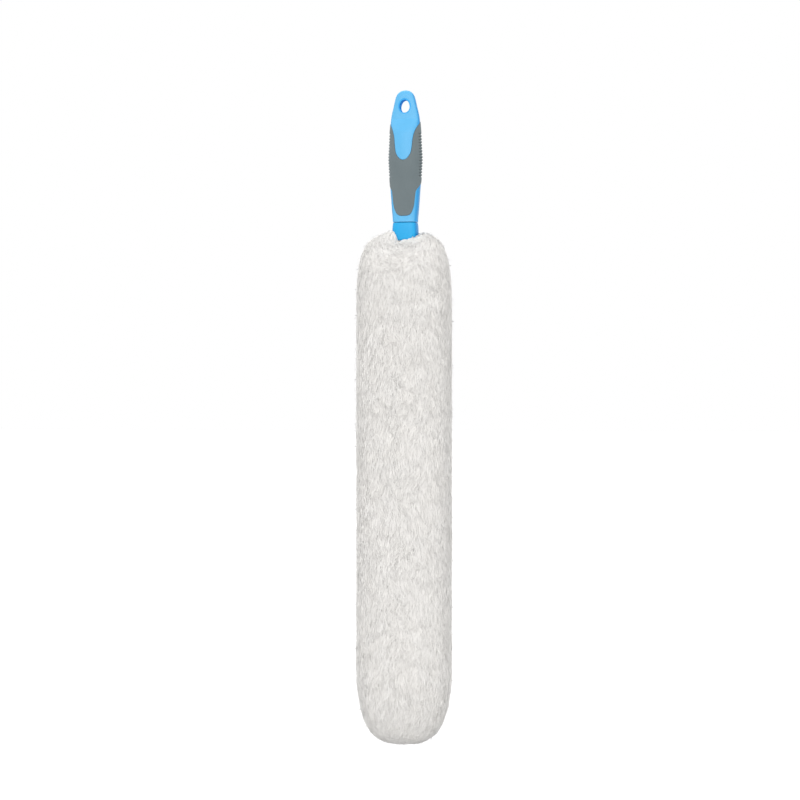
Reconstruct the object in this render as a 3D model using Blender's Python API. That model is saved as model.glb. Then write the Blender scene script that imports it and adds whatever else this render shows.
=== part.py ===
"""Microfibre duster: a two-shot handle that holds a bendable head in a fluffy sleeve.

Metres, +Z up. The origin is the centre of the hanging hole. The handle runs down the Z axis with
its front towards -Y, and the head hangs below it. The head's plug pulls out of the handle along Z,
and the head bends forwards and backwards on hinges whose axes lie along X. The flat strip in the
head bends anywhere along its length: the hinges divide that bend into equal steps.
"""

import math

import bmesh
import bpy
import numpy as np

# Clearances and overruns, and the squareness of a round section
FIT_GAP = 0.0003
SLEEVE_GAP = 0.0005
CUT_OVERRUN = 0.004
ROUND = 2.0
SHARP_EDGE = math.radians(32)

# Handle moulding
HANDLE_LENGTH = 0.1318
HANDLE_WIDTH = 0.0337
HANDLE_DEPTH = 0.0240
HANDLE_SIDES = 36
NECK_EDGE = 0.0004
# Share of the length from the top, of the half width, of the half depth, then the squareness
HANDLE_SHARES = np.array(
    [
        (0.000, 0.140, 0.110, 2.4),
        (0.006, 0.285, 0.230, 2.6),
        (0.016, 0.395, 0.330, 2.8),
        (0.030, 0.485, 0.410, 3.0),
        (0.053, 0.565, 0.467, 3.2),
        (0.085, 0.630, 0.492, 3.4),
        (0.121, 0.692, 0.500, 3.4),
        (0.167, 0.785, 0.504, 3.2),
        (0.212, 0.850, 0.540, 3.0),
        (0.245, 0.878, 0.650, 2.7),
        (0.281, 0.902, 0.767, 2.5),
        (0.326, 0.930, 0.883, 2.3),
        (0.417, 0.962, 0.975, 2.2),
        (0.520, 1.000, 1.000, 2.2),
        (0.599, 0.972, 0.992, 2.2),
        (0.713, 0.912, 0.917, 2.4),
        (0.804, 0.852, 0.842, 2.8),
        (0.895, 0.795, 0.783, 3.2),
        (0.964, 0.742, 0.738, 3.6),
        (1.000, 0.724, 0.733, 3.6),
    ]
)

# Hanging hole and the flat lands round it
HOLE_DROP = 0.016
HOLE_WIDTH = 0.0102
HOLE_HEIGHT = 0.0128
HOLE_RIM = 0.0012
HOLE_SIDES = 24
EGG_SHARE = 0.10
LOOP_THICKNESS = 0.0114
LAND_DROP = 0.0285
LAND_RUN_SHARE = 2.0

# Soft grip, moulded into a recess of the handle
GRIP_THICKNESS = 0.0020
GRIP_PROUD = 0.0003
GRIP_SIDES = 48
GRIP_ROWS = 8
FINE_STEPS = 361
# Share of the half turn from the front to the back, then share of the handle's length from the top
GRIP_TOP_SHARES = np.array(
    [
        (0.000, 0.533),
        (0.040, 0.529),
        (0.078, 0.516),
        (0.124, 0.491),
        (0.152, 0.464),
        (0.170, 0.425),
        (0.186, 0.378),
        (0.211, 0.338),
        (0.247, 0.303),
        (0.299, 0.277),
        (0.350, 0.262),
        (0.445, 0.254),
        (0.556, 0.234),
        (0.778, 0.252),
        (1.000, 0.277),
    ]
)
GRIP_END_SHARES = np.array(
    [
        (0.000, 0.954),
        (0.060, 0.947),
        (0.124, 0.926),
        (0.175, 0.908),
        (0.208, 0.891),
        (0.230, 0.868),
        (0.246, 0.834),
        (0.262, 0.797),
        (0.286, 0.766),
        (0.355, 0.745),
        (0.430, 0.728),
        (0.562, 0.696),
        (0.778, 0.645),
        (1.000, 0.626),
    ]
)

# Rib grooves down both sides of the grip
RIB_PITCH = 0.0030
RIB_WIDTH = 0.0012
RIB_DEPTH = 0.0008
RIB_OVERRUN = 0.0005
RIB_COUNT = 15
RIB_TOP_SHARE = 0.334
RIB_ARC_SHARE = 0.16
RIB_FADE_SHARE = 0.3
RIB_STATIONS = 5

# Head frame: the plug in the handle, the collar, the waist under the sleeve's cuff, and the strip
PARTING_GAP = 0.0006
PLUG_LENGTH = 0.0340
PLUG_WIDTH = 0.0146
PLUG_DEPTH = 0.0086
PLUG_CORNER = 0.0010
PLUG_LEAD = 0.0030
PLUG_ROOT = 0.0030
CRUSH_RIB_HEIGHT = 0.0002
CRUSH_RIB_WIDTH = 0.0010
CRUSH_RIB_SHARE = 0.55
SOCKET_SPARE = 0.0015
COLLAR_LENGTH = 0.0176
COLLAR_BULGE_SHARE = 1.045
COLLAR_EDGE = 0.0008
WAIST_LENGTH = 0.0070
WAIST_WIDTH = 0.0200
WAIST_DEPTH = 0.0120
WAIST_SQUARENESS = 3.0
STRIP_WIDTH = 0.0200
STRIP_DEPTH = 0.0050
STRIP_CORNER = 0.0006
STRIP_SQUARENESS = 8.0
ROOT_STRIP_LENGTH = 0.0090
CUFF_THICKNESS = 0.0020

# Bendable strip: equal links between the hinges, and the soft wire that holds its bend
LINK_COUNT = 12
LINK_PITCH = 0.0400
HINGE_GAP = 0.0004
BEND_LIMIT = math.radians(7.5)
WIRE_DIAMETER = 0.0024
WIRE_SIDES = 8
WIRE_ROOT_REACH = 0.0140
TIP_STRIP_LENGTH = 0.0220
TIP_WIRE_LENGTH = 0.0160
CAP_GRIP = 0.0080
CAP_NOSE = 0.0090
CAP_WALL = 0.0020
CAP_SQUARENESS = 4.0
CAP_SIDES = 24
# Share of the cap's nose, then share of its half width and half depth
CAP_SHARES = ((0.0, 1.0), (0.55, 0.94), (0.85, 0.74), (1.0, 0.42))

# Microfibre pile, in tiers of tufts
PILE_WIDTH = 0.0945
PILE_DEPTH = 0.0830
PILE_SQUARENESS = 2.2
PILE_SIDES = 20
PILE_OVERLAP = 0.0055
PILE_JOINT_GAP = 0.0006
PILE_RELIEF = math.radians(0.15)
TIP_PILE_LENGTH = 0.0450
TIER_LENGTH = 0.0200
TUFT_SHARE = 0.028
SWAY_SHARE = 0.012
SWAY_LOBES = 3
# Share of a tier from its top, then share of the pile's half width
TIER_SHARES = ((0.0, 0.91), (0.35, 0.97), (0.80, 1.0))
TIER_END_SHARE = 0.93
# Share of the pile's length from its top, then share of its half width
PILE_SHARES = np.array(
    [
        (0.000, 0.56),
        (0.005, 0.70),
        (0.014, 0.80),
        (0.031, 0.88),
        (0.090, 0.98),
        (0.150, 1.00),
        (0.870, 1.00),
        (0.919, 0.94),
        (0.959, 0.83),
        (0.988, 0.62),
        (1.000, 0.33),
    ]
)

# Heights of the main stations down the axis
HANDLE_TOP = HOLE_DROP
NECK_END = HANDLE_TOP - HANDLE_LENGTH
COLLAR_TOP = NECK_END - PARTING_GAP
COLLAR_END = COLLAR_TOP - COLLAR_LENGTH
WAIST_END = COLLAR_END - WAIST_LENGTH
FIRST_HINGE = WAIST_END - ROOT_STRIP_LENGTH
LAST_HINGE = FIRST_HINGE - (LINK_COUNT - 1) * LINK_PITCH
STRIP_END = LAST_HINGE - TIP_STRIP_LENGTH
CAP_TOP = STRIP_END + CAP_GRIP
PILE_TOP = COLLAR_END + PILE_OVERLAP
PILE_END = LAST_HINGE - TIP_PILE_LENGTH


def clear_scene():
    for item in list(bpy.data.objects):
        bpy.data.objects.remove(item)


def smooth(at, knots, values, level_ends=False):
    """Cubic curve through the knots that doesn't overshoot: a knot's slope is the harmonic mean of
    the chords beside it, and zero where they change sign. Level ends suit a curve that is mirrored
    there."""
    chords = np.diff(values) / np.diff(knots)
    product = chords[:-1] * chords[1:]
    total = chords[:-1] + chords[1:]
    rising = product > 0
    inner = np.where(rising, 2 * product / np.where(rising, total, 1), 0)
    ends = 0 * chords if level_ends else chords
    slopes = np.concatenate([ends[:1], inner, ends[-1:]])
    piece = np.clip(np.searchsorted(knots, at) - 1, 0, len(knots) - 2)
    step = knots[piece + 1] - knots[piece]
    t = (np.clip(at, knots[0], knots[-1]) - knots[piece]) / step
    return (
        values[piece] * (1 + 2 * t) * (1 - t) ** 2
        + slopes[piece] * step * t * (1 - t) ** 2
        + values[piece + 1] * t**2 * (3 - 2 * t)
        + slopes[piece + 1] * step * t**2 * (t - 1)
    )


def turn(sides, phase_share=0.0):
    """Angles once round from the right side, measured from the front, -Y, towards +X."""
    return np.pi / 2 + 2 * np.pi * (np.arange(sides) + phase_share) / sides


def from_front(angles):
    """Angle away from the front, 0 to pi, alike on both sides."""
    return np.abs((angles + np.pi) % (2 * np.pi) - np.pi)


def rounded(angles, half_width, half_depth, squareness):
    """x and y of a superellipse, which turns from an ellipse at 2 to a rectangle as it squares up."""
    across = np.round(np.sin(angles), 12)
    ahead = np.round(-np.cos(angles), 12)
    power = 2 / squareness
    x = half_width * np.sign(across) * np.abs(across) ** power
    y = half_depth * np.sign(ahead) * np.abs(ahead) ** power
    return x, y


def ring(angles, height, half_width, half_depth, squareness):
    x, y = rounded(angles, half_width, half_depth, squareness)
    return np.stack([x, y, np.broadcast_to(height, x.shape)], axis=1)


def chamfered(height, half_width, half_depth, corner):
    """Ring of a rectangle with cut corners, whose first and middle points lie on y = 0."""
    outline = [
        (half_width, 0),
        (half_width, half_depth - corner),
        (half_width - corner, half_depth),
        (corner - half_width, half_depth),
        (-half_width, half_depth - corner),
    ]
    outline += [(-x, -y) for x, y in outline]
    return np.array([(x, y, height) for x, y in outline])


def roofed(points, slope):
    """The ring with its height changed by the slope, in proportion to the distance from y = 0."""
    tilted = points.copy()
    tilted[:, 2] += slope * np.abs(points[:, 1])
    return tilted


def link(name, mesh, joint=None):
    piece = bpy.data.objects.new(name, mesh)
    bpy.context.collection.objects.link(piece)
    piece.parent = joint
    return piece


def mesh_of(name, points, faces):
    mesh = bpy.data.meshes.new(name)
    mesh.from_pydata([tuple(point) for point in points], [], faces)
    form = bmesh.new()
    form.from_mesh(mesh)
    bmesh.ops.recalc_face_normals(form, faces=form.faces)
    form.to_mesh(mesh)
    form.free()
    return mesh


def shell(rings, closed=False):
    """Points and faces of a skin through rings of equal count. The last ring joins the first, or
    each end gets a cap in two halves that meet between its first and its middle point."""
    rings = np.asarray(rings)
    count, sides = rings.shape[:2]
    index = np.arange(count * sides).reshape(count, sides)
    faces = []
    for i in range(count if closed else count - 1):
        near, far = index[i], index[(i + 1) % count]
        for j in range(sides):
            k = (j + 1) % sides
            faces.append((near[j], near[k], far[k], far[j]))
    if not closed:
        half = sides // 2
        for end in (index[0], index[-1]):
            faces.append(tuple(end[: half + 1]))
            faces.append(tuple(end[half:]) + (end[0],))
    return rings.reshape(-1, 3), [tuple(int(i) for i in face) for face in faces]


def solid(name, *shells):
    """One object from one or more skins."""
    points, faces = [], []
    for skin, skin_faces in shells:
        start = len(points)
        points.extend(skin)
        faces.extend(tuple(start + i for i in face) for face in skin_faces)
    return link(name, mesh_of(name, points, faces))


def boolean(piece, operation, *tools):
    """Applies the tools to the piece with the exact solver, and removes them."""
    for tool in tools:
        step = piece.modifiers.new(tool.name, "BOOLEAN")
        step.operation = operation
        step.solver = "EXACT"
        step.object = tool
    graph = bpy.context.evaluated_depsgraph_get()
    result = bpy.data.meshes.new_from_object(piece.evaluated_get(graph))
    result.name = piece.name
    piece.modifiers.clear()
    piece.data = result
    for tool in tools:
        bpy.data.objects.remove(tool)
    return piece


def finish(piece, material, joint=None):
    """Gives the piece its material and its shading, and hangs it on its joint's empty."""
    mesh = piece.data
    mesh.materials.clear()
    mesh.materials.append(material)
    mesh.shade_smooth()
    mesh.set_sharp_from_angle(angle=SHARP_EDGE)
    if joint is not None:
        mesh.transform(joint_place(joint).inverted())
        piece.parent = joint
    return piece


def joint_place(joint):
    bpy.context.view_layer.update()
    return joint.matrix_world


def joint_empty(name, drop, parent=None):
    """Empty on a joint's axis, at this drop below its parent's."""
    empty = bpy.data.objects.new(name, None)
    bpy.context.collection.objects.link(empty)
    empty.empty_display_size = STRIP_WIDTH
    empty.location = (0, 0, -drop)
    empty.parent = parent
    return empty


def linear(level):
    """A screen colour channel, 0 to 255, as linear light."""
    share = level / 255
    return share / 12.92 if share <= 0.04045 else ((share + 0.055) / 1.055) ** 2.4


def finish_material(name, screen_colour, roughness, metallic=0.0):
    material = bpy.data.materials.new(name)
    material.use_nodes = True
    shader = material.node_tree.nodes["Principled BSDF"]
    colour = (*(linear(level) for level in screen_colour), 1)
    shader.inputs["Base Color"].default_value = colour
    shader.inputs["Roughness"].default_value = roughness
    shader.inputs["Metallic"].default_value = metallic
    material.diffuse_color = colour
    return material


def skin(angles, heights, offset=0.0):
    """Points on the handle's outer skin, or this far outside it."""
    drop_share = (HANDLE_TOP - heights) / HANDLE_LENGTH
    knots = HANDLE_SHARES[:, 0]
    half_width = HANDLE_WIDTH / 2 * smooth(drop_share, knots, HANDLE_SHARES[:, 1])
    half_depth = HANDLE_DEPTH / 2 * smooth(drop_share, knots, HANDLE_SHARES[:, 2])
    squareness = smooth(drop_share, knots, HANDLE_SHARES[:, 3])
    x, y = rounded(angles, half_width + offset, half_depth + offset, squareness)
    return np.stack([x, y, heights + 0 * x], axis=-1)


def grip_edges(angles):
    """Heights of the soft grip's upper and lower edge round the handle."""
    share = from_front(angles) / np.pi
    heights = []
    for table in (GRIP_TOP_SHARES, GRIP_END_SHARES):
        drop_share = smooth(share, table[:, 0], table[:, 1], level_ends=True)
        heights.append(HANDLE_TOP - HANDLE_LENGTH * drop_share)
    return heights


def grip_angles():
    """Angles round the grip from the front, alike on both sides, and closer together where the
    grip's edges run steeply."""
    fine = np.linspace(0, np.pi, FINE_STEPS)
    top, end = grip_edges(fine)
    steps = np.sqrt((HANDLE_WIDTH / 2 * np.diff(fine)) ** 2 + np.diff(top) ** 2 + np.diff(end) ** 2)
    walked = np.concatenate([[0], np.cumsum(steps)])
    half = np.interp(np.linspace(0, walked[-1], GRIP_SIDES // 2 + 1), walked, fine)
    return np.concatenate([half, -half[-2:0:-1]])


def stretch(angles, heights):
    """How much further an edge moves along Z than square to itself, at each of its points."""
    points = skin(angles, heights)
    step = np.roll(points, -1, axis=0) - points
    slant = np.abs(step[:, 2]) / np.hypot(step[:, 0], step[:, 1])
    longer = np.sqrt(1 + slant**2)
    return np.maximum(longer, np.roll(longer, 1))


def grip_band(depth, proud, growth=0.0):
    """Skin of the band between the grip's edges, from this depth under the handle's skin to this
    height above it, with its edges moved outwards by the growth."""
    angles = grip_angles()
    top, end = grip_edges(angles)
    top, end = top + growth * stretch(angles, top), end - growth * stretch(angles, end)
    rows = np.linspace(0, 1, GRIP_ROWS)
    outer = [skin(angles, top + (end - top) * row, proud) for row in rows]
    inner = [skin(angles, top + (end - top) * row, -depth) for row in rows[::-1]]
    return shell(outer + inner, closed=True)


def rib_groove(side, height):
    """Skin of a V-shaped groove cutter that follows the grip's side and runs out at both ends."""
    rings = []
    for u in np.linspace(-1, 1, RIB_STATIONS):
        angle = side + u * RIB_ARC_SHARE * np.pi
        depth = RIB_DEPTH * ((1 + RIB_FADE_SHARE) * (1 - u**4) - RIB_FADE_SHARE)
        lift = GRIP_PROUD + RIB_OVERRUN
        half = RIB_WIDTH / 2 * (RIB_DEPTH + RIB_OVERRUN) / RIB_DEPTH
        places = [(height + half, lift), (height, GRIP_PROUD - depth), (height - half, lift)]
        rings.append([skin(np.array(angle), np.array(z), offset) for z, offset in places])
    return triangle_shell(rings)


def triangle_shell(rings):
    """Skin through rings of three points, with a triangle at each end."""
    rings = np.asarray(rings)
    count = len(rings)
    index = np.arange(count * 3).reshape(count, 3)
    faces = [tuple(int(i) for i in end) for end in (index[0], index[-1])]
    for near, far in zip(index[:-1], index[1:]):
        for j in range(3):
            k = (j + 1) % 3
            faces.append((int(near[j]), int(near[k]), int(far[k]), int(far[j])))
    return rings.reshape(-1, 3), faces


def hole_cutter():
    """Egg-shaped hole through the loop, with a bevelled rim on both faces."""
    angles = turn(HOLE_SIDES)
    land = LOOP_THICKNESS / 2
    rings = []
    for side in (-1, 1):
        places = [(land + CUT_OVERRUN, HOLE_RIM), (land, HOLE_RIM), (land - HOLE_RIM, 0.0)]
        for distance, flare in places[:: -side]:
            x = (HOLE_WIDTH / 2 + flare) * np.cos(angles) * (1 - EGG_SHARE * np.sin(angles))
            z = (HOLE_HEIGHT / 2 + flare) * np.sin(angles)
            rings.append(np.stack([x, 0 * x + side * distance, z], axis=1))
    return solid("hole_cutter", shell(rings))


def land_cutter(side):
    """Block that leaves the loop's face flat, and slopes away from it above the grip."""
    land = side * LOOP_THICKNESS / 2
    out = side * (HANDLE_DEPTH / 2 + CUT_OVERRUN)
    foot = HANDLE_TOP - LAND_DROP
    run = LAND_RUN_SHARE * abs(out - land)
    top = HANDLE_TOP + CUT_OVERRUN
    half = HANDLE_WIDTH / 2 + CUT_OVERRUN
    profile = [(land, top), (land, foot), (out, foot - run), (out, top)]
    rings = [[(x, y, z) for y, z in profile] for x in (-half, half)]
    return solid("land_cutter", shell(rings))


def plug_ring(height, inset):
    """Outline of the plug, with two crush ribs on each wide face."""
    half_width = PLUG_WIDTH / 2 - inset
    half_depth = PLUG_DEPTH / 2 - inset
    rib_place = CRUSH_RIB_SHARE * half_width
    half_rib = CRUSH_RIB_WIDTH / 2
    quarter = [(half_width, 0), (half_width, half_depth - PLUG_CORNER)]
    quarter += [(half_width - PLUG_CORNER, half_depth), (rib_place + half_rib, half_depth)]
    quarter += [(rib_place, half_depth + CRUSH_RIB_HEIGHT), (rib_place - half_rib, half_depth)]
    back = quarter + [(-x, y) for x, y in quarter[:0:-1]]
    outline = back + [(-x, -y) for x, y in back]
    return np.array([(x, y, height) for x, y in outline])


def socket_cutter():
    """Blind socket for the plug, clear of its crush ribs."""
    clearance = CRUSH_RIB_HEIGHT + FIT_GAP
    half_width = PLUG_WIDTH / 2 + clearance
    half_depth = PLUG_DEPTH / 2 + clearance
    roof = COLLAR_TOP + PLUG_LENGTH + SOCKET_SPARE
    rings = [chamfered(z, half_width, half_depth, PLUG_CORNER) for z in (NECK_END - CUT_OVERRUN, roof)]
    return solid("socket_cutter", shell(rings))


def make_handle(blue):
    angles = turn(HANDLE_SIDES, 0.5)
    heights = HANDLE_TOP - HANDLE_LENGTH * HANDLE_SHARES[:, 0]
    heights[-1] = NECK_END + NECK_EDGE
    rings = [skin(angles, height) for height in heights]
    rings.append(skin(angles, NECK_END, -NECK_EDGE))
    handle = solid("handle_body", shell(rings))
    recess = solid("recess_cutter", grip_band(GRIP_THICKNESS + FIT_GAP, CUT_OVERRUN, FIT_GAP))
    tools = [hole_cutter(), land_cutter(-1), land_cutter(1), socket_cutter(), recess]
    return finish(boolean(handle, "DIFFERENCE", *tools), blue)


def make_grip(grey):
    grip = solid("grip_overmould", grip_band(GRIP_THICKNESS, GRIP_PROUD))
    first = HANDLE_TOP - HANDLE_LENGTH * RIB_TOP_SHARE
    grooves = []
    for side in (np.pi / 2, -np.pi / 2):
        grooves += [rib_groove(side, first - row * RIB_PITCH) for row in range(RIB_COUNT)]
    return finish(boolean(grip, "DIFFERENCE", solid("groove_cutter", *grooves)), grey)


def end_slope():
    """Slope of a strip's end on each side of its hinge: half the hinge's travel."""
    return math.tan(BEND_LIMIT / 2)


def bar(name, radius, top, end):
    """Round bar down the axis between these heights."""
    return solid(name, shell([ring(turn(WIRE_SIDES), z, radius, radius, ROUND) for z in (top, end)]))


def channel_cutter(top, end):
    """The wire's channel between these heights."""
    return bar("channel", WIRE_DIAMETER / 2 + FIT_GAP, top, end)


def collar_half_sizes():
    """The neck's half width and half depth, which the collar carries on."""
    return HANDLE_WIDTH / 2 * HANDLE_SHARES[-1, 1], HANDLE_DEPTH / 2 * HANDLE_SHARES[-1, 2]


def collar_sections(clearance=0.0):
    """Height, half sizes and squareness down the collar, or down a bore round it."""
    half_width, half_depth = (size + clearance for size in collar_half_sizes())
    square = HANDLE_SHARES[-1, 3]
    middle = (COLLAR_TOP + COLLAR_END) / 2
    bulge = COLLAR_BULGE_SHARE
    return [
        (COLLAR_TOP, half_width - NECK_EDGE, half_depth - NECK_EDGE, square),
        (COLLAR_TOP - NECK_EDGE, half_width, half_depth, square),
        (middle, half_width * bulge, half_depth * bulge, square),
        (COLLAR_END + COLLAR_EDGE, half_width, half_depth, square),
        (COLLAR_END, half_width - COLLAR_EDGE, half_depth - COLLAR_EDGE, square),
    ]


def make_root(blue, joint):
    waist = (WAIST_WIDTH / 2, WAIST_DEPTH / 2, WAIST_SQUARENESS)
    strip = (STRIP_WIDTH / 2, STRIP_DEPTH / 2, STRIP_SQUARENESS)
    end = FIRST_HINGE + HINGE_GAP / 2
    sections = collar_sections() + [(COLLAR_END, *waist), (WAIST_END, *waist)]
    sections += [(WAIST_END, *strip), (end, *strip)]
    rings = [ring(turn(HANDLE_SIDES), *section) for section in sections]
    rings[-1] = roofed(rings[-1], end_slope())
    root = solid("frame_root", shell(rings))
    crown = COLLAR_TOP + PLUG_LENGTH
    places = [(COLLAR_TOP - PLUG_ROOT, 0.0), (crown - PLUG_LEAD, 0.0), (crown, PLUG_CORNER / 2)]
    plug = solid("plug", shell([plug_ring(*place) for place in places]))
    boolean(root, "UNION", plug)
    channel = channel_cutter(WAIST_END + WIRE_ROOT_REACH, FIRST_HINGE - CUT_OVERRUN)
    return finish(boolean(root, "DIFFERENCE", channel), blue, joint)


def make_cuff(white, joint):
    """The elastic hem of the sleeve, snapped round the waist under the collar."""
    half_width = WAIST_WIDTH / 2 + FIT_GAP
    half_depth = WAIST_DEPTH / 2 + FIT_GAP
    top = COLLAR_END - FIT_GAP
    end = WAIST_END + FIT_GAP
    wall = CUFF_THICKNESS
    places = [(top, 0.0), (top, wall), (end, wall), (end, 0.0)]
    angles = turn(HANDLE_SIDES)
    rings = [
        ring(angles, height, half_width + out, half_depth + out, WAIST_SQUARENESS) for height, out in places
    ]
    return finish(solid("cuff_elastic", shell(rings, closed=True)), white, joint)


def strip_rings(top, end, last_slope):
    half_width = STRIP_WIDTH / 2
    half_depth = STRIP_DEPTH / 2
    first = roofed(chamfered(top, half_width, half_depth, STRIP_CORNER), -end_slope())
    last = roofed(chamfered(end, half_width, half_depth, STRIP_CORNER), last_slope)
    return [first, last]


def make_links(blue, steel, joints):
    """The strip's links and their lengths of wire. All but the last share their meshes."""
    top = -HINGE_GAP / 2
    end = HINGE_GAP / 2 - LINK_PITCH
    strip = solid("spine_link_01", shell(strip_rings(top, end, end_slope())))
    channel = channel_cutter(CUT_OVERRUN, -LINK_PITCH - CUT_OVERRUN)
    finish(boolean(strip, "DIFFERENCE", channel), blue).parent = joints[0]
    wire = bar("core_wire_01", WIRE_DIAMETER / 2, -HINGE_GAP, HINGE_GAP - LINK_PITCH)
    finish(wire, steel).parent = joints[0]
    for number, joint in enumerate(joints[1:-1], start=2):
        link(f"spine_link_{number:02d}", strip.data, joint)
        link(f"core_wire_{number:02d}", wire.data, joint)
    last = solid(f"spine_link_{LINK_COUNT:02d}", shell(strip_rings(top, -TIP_STRIP_LENGTH, 0.0)))
    channel = channel_cutter(CUT_OVERRUN, -TIP_WIRE_LENGTH - FIT_GAP)
    finish(boolean(last, "DIFFERENCE", channel), blue).parent = joints[-1]
    wire = bar(f"core_wire_{LINK_COUNT:02d}", WIRE_DIAMETER / 2, -HINGE_GAP, -TIP_WIRE_LENGTH)
    finish(wire, steel).parent = joints[-1]


def make_root_wire(steel, joint):
    """The wire's first length, moulded into the collar."""
    top = WAIST_END + WIRE_ROOT_REACH - FIT_GAP
    wire = bar("core_wire_00", WIRE_DIAMETER / 2, top, FIRST_HINGE + HINGE_GAP)
    return finish(wire, steel, joint)


def cap_sections(clearance=0.0):
    """Height, half sizes and squareness down the cap on the strip's end, or down a bore round it."""
    half_width = STRIP_WIDTH / 2 + FIT_GAP + CAP_WALL + clearance
    half_depth = STRIP_DEPTH / 2 + FIT_GAP + CAP_WALL + clearance
    sections = [(CAP_TOP + clearance, half_width, half_depth, CAP_SQUARENESS)]
    nose = CAP_NOSE + clearance
    for drop, size in CAP_SHARES:
        sections.append((STRIP_END - nose * drop, half_width * size, half_depth * size, CAP_SQUARENESS))
    return sections


def make_cap(blue, joint):
    angles = turn(CAP_SIDES)
    cap = solid("tip_cap", shell([ring(angles, *section) for section in cap_sections()]))
    half_width = STRIP_WIDTH / 2 + FIT_GAP
    half_depth = STRIP_DEPTH / 2 + FIT_GAP
    places = (CAP_TOP + CUT_OVERRUN, STRIP_END - FIT_GAP)
    pocket = solid("pocket", shell([chamfered(z, half_width, half_depth, STRIP_CORNER) for z in places]))
    return finish(boolean(cap, "DIFFERENCE", pocket), blue, joint)


def pile_ring(height, size_share, tier, slope=0.0):
    """Outline of the pile at this height: an oval that tufts press in and out, staggered by tier."""
    angles = turn(PILE_SIDES)
    drop_share = (PILE_TOP - height) / (PILE_TOP - PILE_END)
    size_share = size_share * smooth(drop_share, PILE_SHARES[:, 0], PILE_SHARES[:, 1])
    tufts = TUFT_SHARE * np.cos(np.arange(PILE_SIDES) * np.pi + tier * np.pi)
    sway = SWAY_SHARE * np.sin(SWAY_LOBES * angles + tier)
    points = ring(angles, height, PILE_WIDTH / 2 * size_share, PILE_DEPTH / 2 * size_share, PILE_SQUARENESS)
    points[:, :2] *= (1 + tufts + sway)[:, None]
    return roofed(points, slope)


def tier_rings(top, first_tier, tiers):
    """Outlines down this many tiers, without the last edge."""
    rings = []
    for tier in range(tiers):
        for drop, size in TIER_SHARES:
            height = top - TIER_LENGTH * (tier + drop)
            rings.append(pile_ring(height, size, first_tier + tier))
    return rings


def bore_ring(height, slope=0.0):
    half_width = STRIP_WIDTH / 2 + SLEEVE_GAP
    half_depth = STRIP_DEPTH / 2 + SLEEVE_GAP
    return roofed(ring(turn(PILE_SIDES), height, half_width, half_depth, STRIP_SQUARENESS), slope)


def pile_slope():
    """Slope of the pile's ends, so that the tiers on both sides of a hinge clear at its limits."""
    return math.tan(BEND_LIMIT / 2 + PILE_RELIEF)


def stations_between(top, end):
    """Heights of the pile's own stations between these two."""
    heights = PILE_TOP - PILE_SHARES[:, 0] * (PILE_TOP - PILE_END)
    return heights[(heights < top + FIT_GAP) & (heights > end - FIT_GAP)]


def make_pile_link(number, white, joint):
    """Sleeve and pile round one link: whole tiers between two V-shaped clearances at the hinges."""
    hinge = FIRST_HINGE - (number - 1) * LINK_PITCH
    top = hinge - PILE_JOINT_GAP / 2
    end = hinge - LINK_PITCH + PILE_JOINT_GAP / 2
    tiers = round(LINK_PITCH / TIER_LENGTH)
    first_tier = number * tiers
    slope = pile_slope()
    rings = tier_rings(hinge, first_tier, tiers)
    rings[0] = pile_ring(top, TIER_SHARES[0][1], first_tier, -slope)
    rings.append(pile_ring(end, TIER_END_SHARE, first_tier + tiers - 1, slope))
    rings += [bore_ring(end, slope), bore_ring(top, -slope)]
    piece = solid(f"pile_{number:02d}", shell(rings, closed=True))
    return finish(piece, white, joint)


def make_pile_shoulder(white, joint):
    """The pile's upper end, which closes in round the collar over the elastic cuff."""
    end = FIRST_HINGE + PILE_JOINT_GAP / 2
    lowest = end + PILE_DEPTH / 2 * pile_slope()
    rings = [pile_ring(height, 1.0, 0) for height in stations_between(PILE_TOP, lowest)]
    rings.append(pile_ring(end, TIER_END_SHARE, 0, pile_slope()))
    piece = solid("pile_shoulder", shell(rings))
    cuff_width = WAIST_WIDTH / 2 + FIT_GAP + CUFF_THICKNESS + SLEEVE_GAP
    cuff_depth = WAIST_DEPTH / 2 + FIT_GAP + CUFF_THICKNESS + SLEEVE_GAP
    strip = (STRIP_WIDTH / 2 + SLEEVE_GAP, STRIP_DEPTH / 2 + SLEEVE_GAP, STRIP_SQUARENESS)
    sections = collar_sections(SLEEVE_GAP)[1:4]
    sections += [(COLLAR_END - FIT_GAP / 2, *sections[-1][1:])]
    sections += [(COLLAR_END - FIT_GAP / 2, cuff_width, cuff_depth, WAIST_SQUARENESS)]
    sections += [(WAIST_END - SLEEVE_GAP, cuff_width, cuff_depth, WAIST_SQUARENESS)]
    sections += [(WAIST_END - SLEEVE_GAP, *strip), (FIRST_HINGE - CUT_OVERRUN, *strip)]
    bore = solid("shoulder_bore", shell([ring(turn(HANDLE_SIDES), *section) for section in sections]))
    return finish(boolean(piece, "DIFFERENCE", bore), white, joint)


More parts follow.
